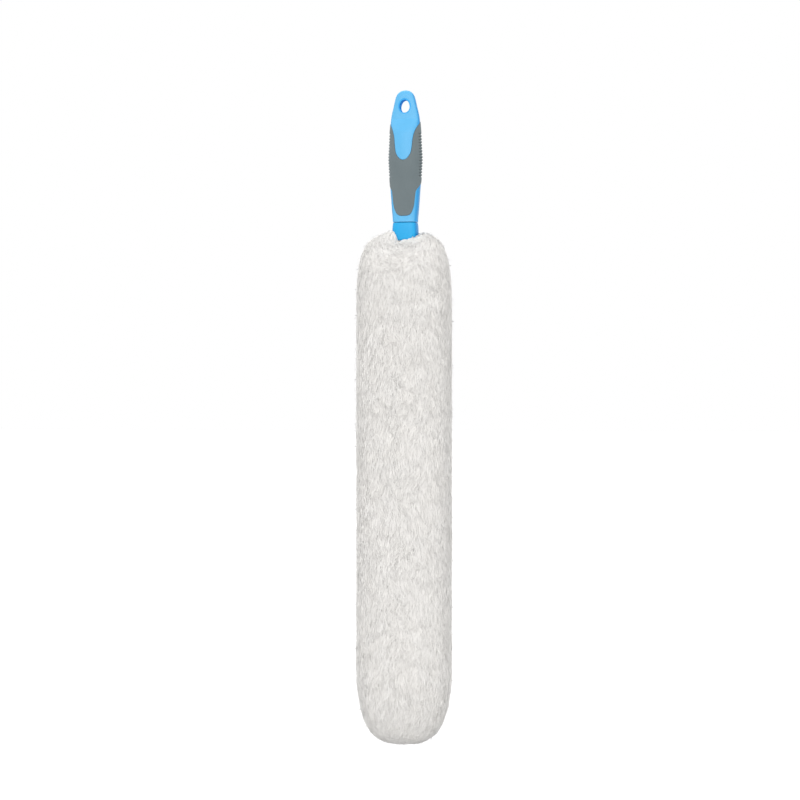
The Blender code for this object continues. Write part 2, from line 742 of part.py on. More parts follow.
def make_pile_tip(white, joint):
    """The sewn, rounded end of the sleeve, round the capped end of the strip."""
    top = LAST_HINGE - PILE_JOINT_GAP / 2
    tiers = math.floor(TIP_PILE_LENGTH / TIER_LENGTH)
    first_tier = LINK_COUNT * round(LINK_PITCH / TIER_LENGTH)
    rings = tier_rings(LAST_HINGE, first_tier, tiers)
    rings[0] = pile_ring(top, TIER_SHARES[0][1], first_tier, -pile_slope())
    for height in stations_between(rings[-1][0, 2] - SLEEVE_GAP, PILE_END):
        rings.append(pile_ring(height, 1.0, first_tier + tiers))
    piece = solid("pile_tip", shell(rings))
    strip = (STRIP_WIDTH / 2 + SLEEVE_GAP, STRIP_DEPTH / 2 + SLEEVE_GAP, STRIP_SQUARENESS)
    sections = [(LAST_HINGE + CUT_OVERRUN, *strip), (CAP_TOP + SLEEVE_GAP, *strip)]
    sections += cap_sections(SLEEVE_GAP)
    bore = solid("tip_bore", shell([ring(turn(CAP_SIDES), *section) for section in sections]))
    return finish(boolean(piece, "DIFFERENCE", bore), white, joint)


def main():
    clear_scene()
    handle_blue = finish_material("handle_blue", (120, 200, 247), 0.32)
    grip_grey = finish_material("grip_grey", (124, 136, 139), 0.72)
    frame_blue = finish_material("frame_blue", (62, 172, 236), 0.36)
    wire_steel = finish_material("wire_steel", (176, 178, 180), 0.35, 1.0)
    sleeve_white = finish_material("sleeve_white", (226, 222, 216), 0.95)
    cuff_white = finish_material("cuff_white", (232, 230, 226), 0.85)

    release = joint_empty("head_release", -COLLAR_TOP)
    joints = [joint_empty("bend_01", COLLAR_TOP - FIRST_HINGE, release)]
    for number in range(2, LINK_COUNT + 1):
        joints.append(joint_empty(f"bend_{number:02d}", LINK_PITCH, joints[-1]))

    make_handle(handle_blue)
    make_grip(grip_grey)
    make_root(frame_blue, release)
    make_cuff(cuff_white, release)
    make_root_wire(wire_steel, release)
    make_links(frame_blue, wire_steel, joints)
    make_cap(frame_blue, joints[-1])
    make_pile_shoulder(sleeve_white, release)
    for number, joint in enumerate(joints[:-1], start=1):
        make_pile_link(number, sleeve_white, joint)
    make_pile_tip(sleeve_white, joints[-1])


main()
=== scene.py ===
# %% [markdown]
# # A microfibre duster around its CAD frame
#
# The real object is a long cleaning duster: a two-shot handle of blue plastic with a soft grey
# grip, and a head that is a bendable strip inside a fluffy sleeve. The CAD model says how long, how
# wide and how jointed it is. This lesson makes what is seen: every surface is a function of two
# parameters, in metres, in the frame of the CAD model, with +Z up, the origin in the centre of the
# hanging hole, and the front of the handle towards -Y.

# %% Load the frame
import math

import bpy
import numpy as np
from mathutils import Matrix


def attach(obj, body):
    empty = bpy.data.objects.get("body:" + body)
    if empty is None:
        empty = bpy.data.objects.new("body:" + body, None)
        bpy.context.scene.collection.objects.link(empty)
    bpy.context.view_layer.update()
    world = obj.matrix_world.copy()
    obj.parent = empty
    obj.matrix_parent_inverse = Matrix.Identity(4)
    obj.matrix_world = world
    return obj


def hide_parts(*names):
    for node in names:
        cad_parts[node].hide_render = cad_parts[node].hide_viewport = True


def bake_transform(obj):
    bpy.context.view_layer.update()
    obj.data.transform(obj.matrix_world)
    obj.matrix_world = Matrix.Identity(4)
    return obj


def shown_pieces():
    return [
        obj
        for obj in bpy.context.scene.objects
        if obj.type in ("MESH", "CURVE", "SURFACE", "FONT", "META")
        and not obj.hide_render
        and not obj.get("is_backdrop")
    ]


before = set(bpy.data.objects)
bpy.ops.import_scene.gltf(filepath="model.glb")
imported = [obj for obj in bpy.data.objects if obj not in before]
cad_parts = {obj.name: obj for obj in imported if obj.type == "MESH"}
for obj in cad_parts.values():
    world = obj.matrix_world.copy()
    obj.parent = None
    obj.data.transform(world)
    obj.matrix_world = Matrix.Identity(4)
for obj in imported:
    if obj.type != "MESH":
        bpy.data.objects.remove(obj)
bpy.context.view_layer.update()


def mm(lengths):
    """Lengths in millimetres, for printing."""
    return [round(1000 * float(length), 1) for length in lengths]


# %% [markdown]
# ## Camera
#
# The duster hangs upright and is looked at level, from a little to its right, with a long lens from
# more than two metres away, so that its sides stay almost parallel and a millimetre is a pixel. The
# camera looks past the handle's axis, which puts the duster just right of the frame's middle.

# %% Camera
VIEW_TURN = math.radians(12.5)
VIEW_HEIGHT = -0.2933
VIEW_ASIDE = 0.0055
VIEW_DISTANCE = 2.222
LENS_MM = 100
SENSOR_MM = 36


def added(name, data):
    """A new object in the scene."""
    thing = bpy.data.objects.new(name, data)
    bpy.context.collection.objects.link(thing)
    return thing


to_right = np.array([math.cos(VIEW_TURN), math.sin(VIEW_TURN), 0])
to_camera = np.array([math.sin(VIEW_TURN), -math.cos(VIEW_TURN), 0])
camera = added("camera", bpy.data.cameras.new("camera"))
camera.location = to_camera * VIEW_DISTANCE - to_right * VIEW_ASIDE + [0, 0, VIEW_HEIGHT]
camera.rotation_euler = (math.pi / 2, 0, VIEW_TURN)
camera.data.lens = LENS_MM
camera.data.sensor_width = SENSOR_MM
bpy.context.scene.camera = camera
bpy.context.scene.view_settings.view_transform = "Standard"
print("camera at, mm:", mm(camera.location))

# %% [markdown]
# ## Node sheets in Python
#
# A procedural finish is a sheet of nodes. Wiring it by hand takes three lines a node, which hides
# the idea. Here a small class wraps a node's output, so that Python's own operators add the Math
# nodes, and one method adds any other node. `1 - mask * 0.3` then reads as what it does.


# %% Levels and sheets
def maths(operation, turned=False):
    """A method that adds a Math node, with its terms the other way round where turned."""

    def method(self, *others):
        terms = (*others, self) if turned else (self, *others)
        return self.sheet.add("ShaderNodeMath", {"operation": operation}, dict(enumerate(terms)))

    return method


class Level:
    """A value that changes over a surface: one output of a sheet's node."""

    def __init__(self, sheet, socket):
        self.sheet, self.socket = sheet, socket

    __add__ = __radd__ = maths("ADD")
    __mul__ = __rmul__ = maths("MULTIPLY")
    __sub__, __rsub__ = maths("SUBTRACT"), maths("SUBTRACT", turned=True)
    __pow__, __gt__, __or__ = maths("POWER"), maths("GREATER_THAN"), maths("MAXIMUM")
    __abs__, sine, arctangent = maths("ABSOLUTE"), maths("SINE"), maths("ARCTAN2")


class Sheet:
    """The node sheet of a material or of the world, with one method that adds any node."""

    def __init__(self, owner):
        owner.use_nodes = True
        self.owner, self.tree = owner, owner.node_tree
        self.tree.nodes.clear()

    def add(self, kind, settings=None, sockets=None, out=0):
        """A node of this kind: its settings first, then its sockets' values or links."""
        node = self.tree.nodes.new(kind)
        for name, value in (settings or {}).items():
            setattr(node, name, value)
        for name, value in (sockets or {}).items():
            if isinstance(value, Level):
                self.tree.links.new(value.socket, node.inputs[name])
            else:
                node.inputs[name].default_value = value
        return Level(self, node.outputs[out])

    def show(self, shader, output="ShaderNodeOutputMaterial"):
        """Sends a shader to the sheet's output."""
        end = self.tree.nodes.new(output)
        self.tree.links.new(shader.socket, end.inputs["Surface"])

    def axes(self, place, names="XYZ"):
        """The coordinates of a place."""
        return [self.add("ShaderNodeSeparateXYZ", None, {0: place}, name) for name in names]

    def noise(self, place, scale, detail=2.0, roughness=0.5):
        sockets = {"Vector": place, "Scale": scale, "Detail": detail, "Roughness": roughness}
        return self.add("ShaderNodeTexNoise", None, sockets)

    def blend(self, share, first, second):
        """A colour between two, by a share from 0 to 1."""
        return self.add("ShaderNodeMix", {"data_type": "RGBA"}, {0: share, 6: first, 7: second}, 2)

    def stretched(self, place, scale):
        """The place, scaled by this much along each axis."""
        return self.add("ShaderNodeVectorMath", {"operation": "MULTIPLY"}, {0: place, 1: scale})

    def fade(self, value, low, high, start=0.0, end=1.0):
        """An S from the start to the end while the value goes from low to high."""
        sockets = {"Value": value, "From Min": low, "From Max": high}
        sockets |= {"To Min": start, "To Max": end}
        return self.add("ShaderNodeMapRange", {"interpolation_type": "SMOOTHSTEP"}, sockets)

    def coat(self, colour, roughness, height, more):
        """Shows a Principled shader with a bump of this height, and returns the material."""
        bump = self.add("ShaderNodeBump", None, {"Height": height, "Distance": 1.0})
        sockets = {"Base Color": colour, "Roughness": roughness, "Normal": bump} | more
        self.show(self.add("ShaderNodeBsdfPrincipled", None, sockets))
        return self.owner


def finish_of(name):
    """The sheet of a new material, and the place on the object that it finishes."""
    sheet = Sheet(bpy.data.materials.new(name))
    return sheet, sheet.add("ShaderNodeTexCoord", out="Object")


def screen(red, green, blue):
    """A colour as a screen shows it, 0 to 255, turned into the linear light that shaders use."""
    shares = np.array([red, green, blue]) / 255
    light = np.where(shares <= 0.04045, shares / 12.92, ((shares + 0.055) / 1.055) ** 2.4)
    return (*light.tolist(), 1.0)


print("mid grey on the screen is", round(screen(128, 128, 128)[0], 3), "in linear light")

# %% [markdown]
# ## Studio
#
# The duster hangs in an even white studio. The world is plain white wherever the camera or a
# reflection looks at it, and dimmer as a lamp, so that a colour on the duster renders about as it
# is written. A pale floor lies well below the tip. Its finish adds white for the camera over a
# surface that takes real light, so that it meets the white distance without an edge and still
# keeps a shadow.

# %% World and lamps
AMBIENT = 0.90
FLOOR_HEIGHT = -0.76
FLOOR_REACH = 30.0
FLOOR_GLOW = 0.56
WHITE = (1.0, 1.0, 1.0, 1.0)
LAMPS = {
    # name: turn round the duster and climb, in degrees, spread of the light in degrees, strength
    "key": (6, 16, 45, 1.15),
    "right": (96, 25, 70, 0.45),
    "left": (-84, 25, 70, 0.45),
    "back": (-150, 40, 70, 0.80),
}


def seen(sheet):
    """1 for rays from the camera, from a reflection or through glass, and 0 for light."""
    names = ("Is Camera Ray", "Is Glossy Ray", "Is Transmission Ray")
    direct, reflected, through = (sheet.add("ShaderNodeLightPath", out=name) for name in names)
    return direct | reflected | through


world = bpy.data.worlds.new("studio")
bpy.context.scene.world = world
sky = Sheet(world)
dim = sky.add("ShaderNodeBackground", None, {"Color": WHITE, "Strength": AMBIENT})
bright = sky.add("ShaderNodeBackground", None, {"Color": WHITE, "Strength": 1.0})
light = sky.add("ShaderNodeMixShader", None, {0: seen(sky), 1: dim, 2: bright})
sky.show(light, "ShaderNodeOutputWorld")
for name, (turn_deg, climb_deg, spread_deg, strength) in LAMPS.items():
    lamp = bpy.data.lights.new(name, "SUN")
    lamp.energy, lamp.angle = strength, math.radians(spread_deg)
    holder = added(name, lamp)
    holder.rotation_euler = (math.radians(90 - climb_deg), 0, math.radians(turn_deg))
print("lamps:", ", ".join(LAMPS))

# %% [markdown]
# ## From numbers to meshes
#
# Nearly every piece here is a grid of points: rows down the object, columns once round it. The
# functions below turn such grids into closed meshes. A skin that ends gets a fan of triangles round
# a pole, and a band closes on itself. Rows run down and columns run from the front over the right
# side to the back, and with the corner order below every face points outwards.


# %% Grids
def grid_faces(rows, columns, band=False):
    """Corners of a grid's quads. Its columns close on themselves, and its rows too in a band."""
    index = np.arange(rows * columns).reshape(rows, columns)
    near = index if band else index[:-1]
    far = np.roll(index, -1, axis=0) if band else index[1:]
    corners = [near, far, np.roll(far, -1, axis=1), np.roll(near, -1, axis=1)]
    return np.stack(corners, axis=-1).reshape(-1, 4)


def fan_faces(ring, pole, downwards):
    """Triangles from a ring of points to its pole, at the upper or the lower end of a skin."""
    after = np.roll(ring, -1)
    middle = np.full_like(ring, pole)
    return np.stack([ring, middle, after] if downwards else [middle, ring, after], axis=-1)


def closed_skin(rings):
    """Points and faces of a skin through rings, top to bottom, with a pole in each end."""
    rows, columns = rings.shape[:2]
    points = np.concatenate([rings.reshape(-1, 3), rings[[0, -1]].mean(axis=1)])
    ring = np.arange(columns)
    top = fan_faces(ring, rows * columns, False)
    end = fan_faces(ring + (rows - 1) * columns, rows * columns + 1, True)
    return points, [grid_faces(rows, columns), top, end]


def closed_band(rings):
    """Points and faces of a band through rings whose last one joins the first."""
    return rings.reshape(-1, 3), [grid_faces(*rings.shape[:2], band=True)]


def mesh_piece(name, points, face_groups):
    """An object from points and from arrays of faces, each with its own count of corners."""
    mesh = bpy.data.meshes.new(name)
    corners = np.concatenate([group.ravel() for group in face_groups])
    counts = np.concatenate([np.full(len(group), group.shape[1]) for group in face_groups])
    mesh.vertices.add(len(points))
    mesh.vertices.foreach_set("co", points.astype(np.float32).ravel())
    mesh.loops.add(len(corners))
    mesh.loops.foreach_set("vertex_index", corners.astype(np.int32))
    mesh.polygons.add(len(counts))
    mesh.polygons.foreach_set("loop_start", (np.cumsum(counts) - counts).astype(np.int32))
    mesh.update(calc_edges=True)
    mesh.validate()
    mesh.shade_smooth()
    return added(name, mesh)


def triangles(piece):
    counts = np.empty(len(piece.data.polygons), np.int32)
    piece.data.polygons.foreach_get("loop_total", counts)
    return int((counts - 2).sum())


def told(piece):
    """Prints a piece's triangles and volume, which is above zero if its faces point outwards."""
    mesh = piece.data
    mesh.calc_loop_triangles()
    corners = np.empty(len(mesh.loop_triangles) * 3, np.int32)
    mesh.loop_triangles.foreach_get("vertices", corners)
    points = np.empty(len(mesh.vertices) * 3)
    mesh.vertices.foreach_get("co", points)
    a, b, c = points.reshape(-1, 3)[corners.reshape(-1, 3)].transpose(1, 0, 2)
    volume = 1e9 * np.einsum("ij,ij->i", a, np.cross(b, c)).sum() / 6
    print(f"{piece.name}: {triangles(piece)} triangles, {volume:.0f} mm3")
    return piece


# %% The floor
floor_corners = FLOOR_REACH * np.array([(-1, -1, 0), (1, -1, 0), (1, 1, 0), (-1, 1, 0)])
floor_corners[:, 2] = FLOOR_HEIGHT
floor = mesh_piece("floor", floor_corners, [np.array([[0, 1, 2, 3]])])
floor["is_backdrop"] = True
sheet = Sheet(bpy.data.materials.new("studio_floor"))
matt = sheet.add("ShaderNodeBsdfDiffuse", None, {"Color": screen(188, 188, 188)})
glow = sheet.add("ShaderNodeEmission", None, {"Color": WHITE, "Strength": seen(sheet) * FLOOR_GLOW})
sheet.show(sheet.add("ShaderNodeAddShader", None, {0: matt, 1: glow}))
floor.data.materials.append(sheet.owner)
print("floor at, mm:", mm([FLOOR_HEIGHT]))

# %% [markdown]
# ## Moulded finishes
#
# The handle is satin polypropylene. Close up its skin isn't glass: the mould leaves a fine grain,
# the melt leaves faint clouds of colour, and handling leaves hairline scuffs that only show in the
# shine. A thin raised line runs down each side where the mould's halves met. The side walls and the
# wall of the hanging hole get a deeper blue, which is painted shade where the walls turn from the
# light and inside the hole. The soft grip comes from an eroded mould, so it is matt with a sandy
# grain. One function makes all of them on object coordinates, so that a pattern has the same size
# on every piece.

# %% Moulded finishes
WALL_HALF = (0.0066, 0.0080)
WALL_DEPTH = (0.0046, 0.0055)
SIDE_SHADE_FACING = (0.45, 0.98)
SEAM_HALF = 0.00022
CLOUD_SCALE = 38.0
SCUFF_SCALES = (260.0, 260.0, 34.0)


def painted_hole_shade(sheet, place):
    """1 on the wall of the hanging hole and on the inner half of its rim, and 0 elsewhere: the mask
    of the hole's painted shade.
    """
    x, y, z = sheet.axes(place)
    near = 1 - ((x * (1 / WALL_HALF[0])) ** 2 + (z * (1 / WALL_HALF[1])) ** 2 > 1.0)
    return near * sheet.fade(abs(y), *WALL_DEPTH, 1.0, 0.0)


def painted_side_shade(sheet):
    """1 where the wall faces sideways, fading to 0 towards the front and the back: the mask of the
    painted side shade.
    """
    (across,) = sheet.axes(sheet.add("ShaderNodeTexCoord", out="Normal"), "X")
    return sheet.fade(abs(across), *SIDE_SHADE_FACING)


def moulded(name, dark, pale, gloss, grain_scale, grain_height, seam=0.0, side=None, deep=None):
    """Plastic or rubber: clouded colour, grain, scuffs in the shine, and the mould's seam. The side
    walls and the hole's wall can have a deeper colour of their own, which is painted shade."""
    sheet, place = finish_of(name)
    clouds = sheet.noise(place, CLOUD_SCALE, 3.0, 0.55)
    grain = sheet.noise(place, grain_scale, 2.0, 0.6)
    scuffs = sheet.noise(sheet.stretched(place, SCUFF_SCALES), 1.0, 3.0, 0.7)
    (ahead,) = sheet.axes(place, "Y")
    ridge = sheet.fade(abs(ahead), 0.0, SEAM_HALF, 1.0, 0.0)
    colour = sheet.blend(clouds * 0.7 + grain * 0.3, dark, pale)
    roughness = gloss + (scuffs - 0.5) * 0.16 + (clouds - 0.5) * 0.06
    # Painted shade: the side walls are blended to a deeper blue.
    if side:
        colour = sheet.blend(painted_side_shade(sheet), colour, side)
    # Painted shade: the hanging hole's wall and the inner half of its rim are blended to a deeper
    # blue, and the wall is also rougher.
    if deep:
        hole = painted_hole_shade(sheet, place)
        colour = sheet.blend(hole, colour, deep)
        roughness = roughness + hole * 0.4
    height = grain * grain_height + ridge * seam
    return sheet.coat(colour, roughness, height, {"Specular IOR Level": 0.30})


# The last two colours are painted shade: a deeper blue on the side walls and in the hanging hole.
handle_blue = moulded(
    "handle_blue", screen(80, 172, 226), screen(110, 190, 234), 0.36, 1500.0, 0.000012, 0.00004,
    screen(22, 146, 212), screen(0, 158, 232),
)
# The last colour is painted shade: a deeper blue on the side walls.
frame_blue = moulded(
    "frame_blue", screen(24, 158, 221), screen(46, 177, 230), 0.38, 1500.0, 0.000012, 0.00003,
    screen(0, 138, 206),
)
grip_grey = moulded(
    "grip_grey", screen(99, 110, 113), screen(117, 128, 131), 0.66, 2600.0, 0.00004
)
print("moulded finishes:", handle_blue.name, frame_blue.name, grip_grey.name)

# %% [markdown]
# ## The handle's shape
#
# The handle is a loft: its half width, half depth and squareness change down its length, and each
# section is a superellipse, which is an ellipse at a squareness of 2 and nears a rectangle as that
# grows. The tables follow the CAD model's, so that the moulding lands where the frame says, and
# only the grip's edges are measured a little more finely here. A cubic that never overshoots its
# knots carries the values between them.

# %% Curves through the tables
HANDLE_TOP = 0.0160
HANDLE_LENGTH = 0.1318
HANDLE_WIDTH = 0.0337
HANDLE_DEPTH = 0.0240
NECK_END = HANDLE_TOP - HANDLE_LENGTH
# Share of the length from the top, of the half width, of the half depth, then the squareness
HANDLE_TABLE = np.array([
    (0.000, 0.140, 0.110, 2.4), (0.006, 0.285, 0.230, 2.6), (0.016, 0.395, 0.330, 2.8),
    (0.030, 0.485, 0.410, 3.0), (0.053, 0.565, 0.467, 3.2), (0.085, 0.630, 0.492, 3.4),
    (0.121, 0.692, 0.500, 3.4), (0.167, 0.785, 0.504, 3.2), (0.212, 0.850, 0.540, 3.0),
    (0.245, 0.878, 0.650, 2.7), (0.281, 0.902, 0.767, 2.5), (0.326, 0.930, 0.883, 2.3),
    (0.417, 0.962, 0.975, 2.2), (0.520, 1.000, 1.000, 2.2), (0.599, 0.972, 0.992, 2.2),
    (0.713, 0.912, 0.917, 2.4), (0.804, 0.852, 0.842, 2.8), (0.895, 0.795, 0.783, 3.2),
    (0.964, 0.742, 0.738, 3.6), (1.000, 0.724, 0.733, 3.6),
])


def smooth(at, knots, values, level_ends=False):
    """Cubic through the knots that never overshoots: a knot's slope is the harmonic mean of the
    chords beside it, and zero where they change sign."""
    chords = np.diff(values) / np.diff(knots)
    product, total = chords[:-1] * chords[1:], chords[:-1] + chords[1:]
    rising = product > 0
    inner = np.where(rising, 2 * product / np.where(rising, total, 1), 0)
    ends = 0 * chords if level_ends else chords
    slopes = np.concatenate([ends[:1], inner, ends[-1:]])
    piece = np.clip(np.searchsorted(knots, at) - 1, 0, len(knots) - 2)
    step = knots[piece + 1] - knots[piece]
    t = (np.clip(at, knots[0], knots[-1]) - knots[piece]) / step
    near = values[piece] * (1 + 2 * t) * (1 - t) ** 2 + slopes[piece] * step * t * (1 - t) ** 2
    far = values[piece + 1] * t**2 * (3 - 2 * t) + slopes[piece + 1] * step * t**2 * (t - 1)
    return near + far


def between(start, end, share):
    return start + (end - start) * share


def ramp(at, low, high):
    """0 below low, 1 above high, and an even S between them."""
    t = np.clip((at - low) / (high - low), 0, 1)
    return t * t * (3 - 2 * t)


def turns(count):
    """Angles of this many points, evenly round a circle."""
    return 2 * np.pi * np.arange(count) / count


def wrapped(angles):
    """The same angles, from -pi to pi."""
    return (angles + np.pi) % (2 * np.pi) - np.pi


def rounded(angles, half_width, half_depth, squareness):
    """x and y of a superellipse: each is its half size times the sine or cosine of the angle, to
    the power of 2 over the squareness. The angle starts at the front, -Y, and turns towards +X."""
    across, ahead = np.round(np.sin(angles), 12), np.round(-np.cos(angles), 12)
    power = 2 / squareness
    x = half_width * np.sign(across) * np.abs(across) ** power
    y = half_depth * np.sign(ahead) * np.abs(ahead) ** power
    return x, y


print("handle, mm:", mm([HANDLE_LENGTH, HANDLE_WIDTH, HANDLE_DEPTH]))

# %% [markdown]
# ## The grip's outline
#
# The grey grip wraps the handle. Its upper edge leaves a blue tongue down the front, and its lower
# edge leaves a blue band round the back. Both edges are heights that depend on the angle alone,
# alike left and right. Where an edge runs almost straight down, a step square to it is a longer
# step down the handle, and `steepness` gives that factor. The columns of both mouldings are shared
# out by the length walked along the skin and the edges, so they stand closer where an edge is
# steep.

# %% The grip's edges and the shared columns
HALF_COLUMNS = 112
STEEPEST = 5.0
# Share of the half turn from front to back, then share of the handle's length from the top
GRIP_TOP_TABLE = np.array([
    (0.000, 0.533), (0.040, 0.529), (0.078, 0.516), (0.124, 0.491), (0.152, 0.464),
    (0.170, 0.425), (0.186, 0.378), (0.214, 0.338), (0.260, 0.303), (0.315, 0.282),
    (0.375, 0.268), (0.450, 0.257), (0.556, 0.236), (0.778, 0.252), (1.000, 0.277),
])
GRIP_END_TABLE = np.array([
    (0.000, 0.954), (0.060, 0.950), (0.105, 0.941), (0.134, 0.932), (0.160, 0.921),
    (0.188, 0.905), (0.216, 0.887), (0.234, 0.866), (0.246, 0.834), (0.262, 0.797),
    (0.286, 0.766), (0.355, 0.745), (0.430, 0.728), (0.562, 0.696), (0.778, 0.645),
    (1.000, 0.626),
])


def from_front(angles):
    """Angle away from the front, 0 to pi, alike on both sides."""
    return np.abs(wrapped(angles))


def grip_edge(angles, table):
    share = from_front(angles) / np.pi
    return HANDLE_TOP - HANDLE_LENGTH * smooth(share, table[:, 0], table[:, 1], level_ends=True)


def handle_skin(angles, heights, offset=0.0):
    """Points on the handle's outer skin, or this far outside it."""
    share = (HANDLE_TOP - heights) / HANDLE_LENGTH
    knots, wide, deep, square = HANDLE_TABLE.T
    half_width = HANDLE_WIDTH / 2 * smooth(share, knots, wide) + offset
    half_depth = HANDLE_DEPTH / 2 * smooth(share, knots, deep) + offset
    x, y = rounded(angles, half_width, half_depth, smooth(share, knots, square))
    return np.stack([x, y, heights + 0 * x], axis=-1)


def shared_columns():
    """Angles from the front round to the back and on to the front, evenly spaced by the way walked
    round three sections of the handle and along both edges of the grip."""
    fine = np.linspace(0, np.pi, 20001)
    top, end = grip_edge(fine, GRIP_TOP_TABLE), grip_edge(fine, GRIP_END_TABLE)
    around = [handle_skin(fine, 0 * fine + z) for z in (-0.002, -0.060, -0.105)]
    step = sum(np.hypot(*np.diff(ring[:, :2], axis=0).T) for ring in around) / len(around)
    walked = np.cumsum(np.sqrt(step**2 + 0.5 * np.diff(top) ** 2 + 0.5 * np.diff(end) ** 2))
    walked = np.concatenate([[0], walked])
    half = np.interp(np.linspace(0, walked[-1], HALF_COLUMNS + 1), walked, fine)
    return np.concatenate([half, 2 * np.pi - half[-2:0:-1]])


def steepness(angles, table):
    """How much longer a step down the handle is than the same step square to the edge."""
    points = handle_skin(angles, grip_edge(angles, table))
    step = np.roll(points, -1, axis=0) - np.roll(points, 1, axis=0)
    slant = np.abs(step[:, 2]) / np.hypot(step[:, 0], step[:, 1])
    return np.minimum(np.sqrt(1 + slant**2), STEEPEST)


columns = shared_columns()
top_edge, end_edge = grip_edge(columns, GRIP_TOP_TABLE), grip_edge(columns, GRIP_END_TABLE)
top_steep, end_steep = steepness(columns, GRIP_TOP_TABLE), steepness(columns, GRIP_END_TABLE)
print(len(columns), "columns; grip from and to, mm:", mm([top_edge.max(), end_edge.min()]))

# %% [markdown]
# ## The handle moulding
#
# A moulded handle could be cut from a block with Booleans, but cuts leave slivers that spoil the
# shine. Here the whole skin is one grid from the top of the loop, down the tongue, over the step
# into the grip's recess, along its floor, out again, round the neck's edge and up into the socket
# for the head's plug. The flat lands round the hanging hole are a smooth minimum of the loft's
# depth and the land's, which leaves a soft crease. Only the hole itself is a Boolean, with a cutter
# whose rim is a quarter circle.

# %% Handle rows
LOOP_HALF = 0.0057
LAND_FOOT = HANDLE_TOP - 0.0285
LAND_LIMIT = -0.045
LAND_RUN = 2.0
LAND_SOFTNESS = 0.0030
TOP_DOME = 0.00038
RECESS_DEPTH = 0.0020
EDGE_ROUND = 0.00055
GRIP_CLEARANCE = 0.00004
NECK_ROUND = 0.00045
PLUG_HALF = (0.0073, 0.0043)
SOCKET_CLEARANCE = 0.0005
SOCKET_ROOF = -0.0809
SOCKET_SQUARENESS = 9.0


def round_steps(radius, count=5):
    """Pairs of how far along and how far out a quarter circle has come, in even steps."""
    angle = np.linspace(0, np.pi / 2, count)
    return list(zip(radius * (1 - np.cos(angle)), radius * np.sin(angle)))


def handle_rows(places):
    """Rings round the handle, from pairs of heights and of the offset from the skin there."""
    return [handle_skin(columns, heights, offset) for heights, offset in places]


def section(height, half_width, half_depth, squareness, angles):
    """A level ring: a superellipse at this height."""
    x, y = rounded(angles, half_width, half_depth, squareness)
    return np.stack([x, y, height + 0 * x], axis=-1)


def flattened(points):
    """The loop's faces pressed flat: depth becomes the smooth minimum of itself and the land's."""
    land = LOOP_HALF + np.maximum(LAND_FOOT - points[..., 2], 0) / LAND_RUN
    deep = np.abs(points[..., 1])
    closeness = np.maximum(LAND_SOFTNESS - np.abs(deep - land), 0) / LAND_SOFTNESS
    pressed = np.minimum(deep, land) - closeness**2 * LAND_SOFTNESS / 4
    result = points.copy()
    result[..., 1] = np.sign(points[..., 1]) * np.where(points[..., 2] > LAND_LIMIT, pressed, deep)
    return result


def handle_rings():
    """All rings of the handle from the top of its loop to the roof of the plug's socket."""
    crown = handle_skin(columns, 0 * columns + HANDLE_TOP)
    rings = [crown * [t, t, 1] + [0, 0, TOP_DOME * (1 - t**2)] for t in np.linspace(0.2, 0.9, 5)]
    mouth = top_edge + (GRIP_CLEARANCE + EDGE_ROUND) * top_steep
    lip, foot = top_edge + GRIP_CLEARANCE * top_steep, end_edge - GRIP_CLEARANCE * end_steep
    start, neck = foot - EDGE_ROUND * end_steep, 0 * columns + NECK_END + NECK_ROUND
    edge = round_steps(EDGE_ROUND)
    down = 1 - np.cos(np.linspace(0, np.pi / 2, 150))
    places = [(between(HANDLE_TOP, mouth, share), 0) for share in down]
    places += [(mouth - near * top_steep, -sink) for sink, near in edge[1:]]
    places += [(between(lip, foot, share), -RECESS_DEPTH) for share in np.linspace(0, 1, 24)]
    places += [(foot - (EDGE_ROUND - near) * end_steep, -sink) for sink, near in edge[::-1]]
    places += [(between(start, neck, share), 0) for share in np.linspace(0, 1, 56)[1:]]
    places += [(neck - drop, -near) for near, drop in round_steps(NECK_ROUND)[1:]]
    rings += handle_rows(places)
    socket = [size + SOCKET_CLEARANCE for size in PLUG_HALF] + [SOCKET_SQUARENESS, columns]
    for share in (0.45, 0.9):
        rings.append(between(rings[-1], section(NECK_END, *socket), share))
    rings += [section(height, *socket) for height in np.linspace(NECK_END, SOCKET_ROOF, 12)]
    rings.append(rings[-1] * [0.5, 0.5, 1])
    return flattened(np.array(rings))


handle = told(mesh_piece("handle_moulding", *closed_skin(handle_rings())))

# %% Hanging hole
HOLE_HALF = (0.0051, 0.0064)
EGG_SHARE = 0.10
RIM_ROUND = 0.0013
RIM_START = math.radians(14)
RIM_LEAD = 0.0004
CUTTER_REACH = 0.004
HOLE_COLUMNS = 96
SHARP_EDGE = math.radians(38)


def hole_rings():
    """Egg-shaped rings through the loop: the width shrinks towards the top by the egg's share, and
    the rim opens along a quarter circle."""
    arc = np.linspace(np.pi / 2, RIM_START, 7)
    flare, depth = RIM_ROUND * (1 - np.sin(arc)), RIM_ROUND * (1 - np.cos(arc))
    flare = np.append(flare, [flare[-1] + RIM_LEAD / math.tan(RIM_START)] * 2)
    depth = np.append(depth, [depth[-1] - RIM_LEAD, -CUTTER_REACH])
    flare = np.concatenate([flare[::-1], flare])[:, None]
    place = np.concatenate([depth[::-1] - LOOP_HALF, LOOP_HALF - depth])[:, None]
    angles = np.pi / 2 + turns(HOLE_COLUMNS)
    x = (HOLE_HALF[0] + flare) * np.cos(angles) * (1 - EGG_SHARE * np.sin(angles))
    z = (HOLE_HALF[1] + flare) * np.sin(angles)
    return np.stack([x, place + 0 * x, z], axis=-1)


def fitted(piece, sharp_angle, finish, body, node):
    """A hard piece with its sharp edges and its finish, on its body, in the place of its node."""
    piece.data.set_sharp_from_angle(angle=sharp_angle)
    piece.data.materials.append(finish)
    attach(piece, body)
    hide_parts(node)
    return told(piece)


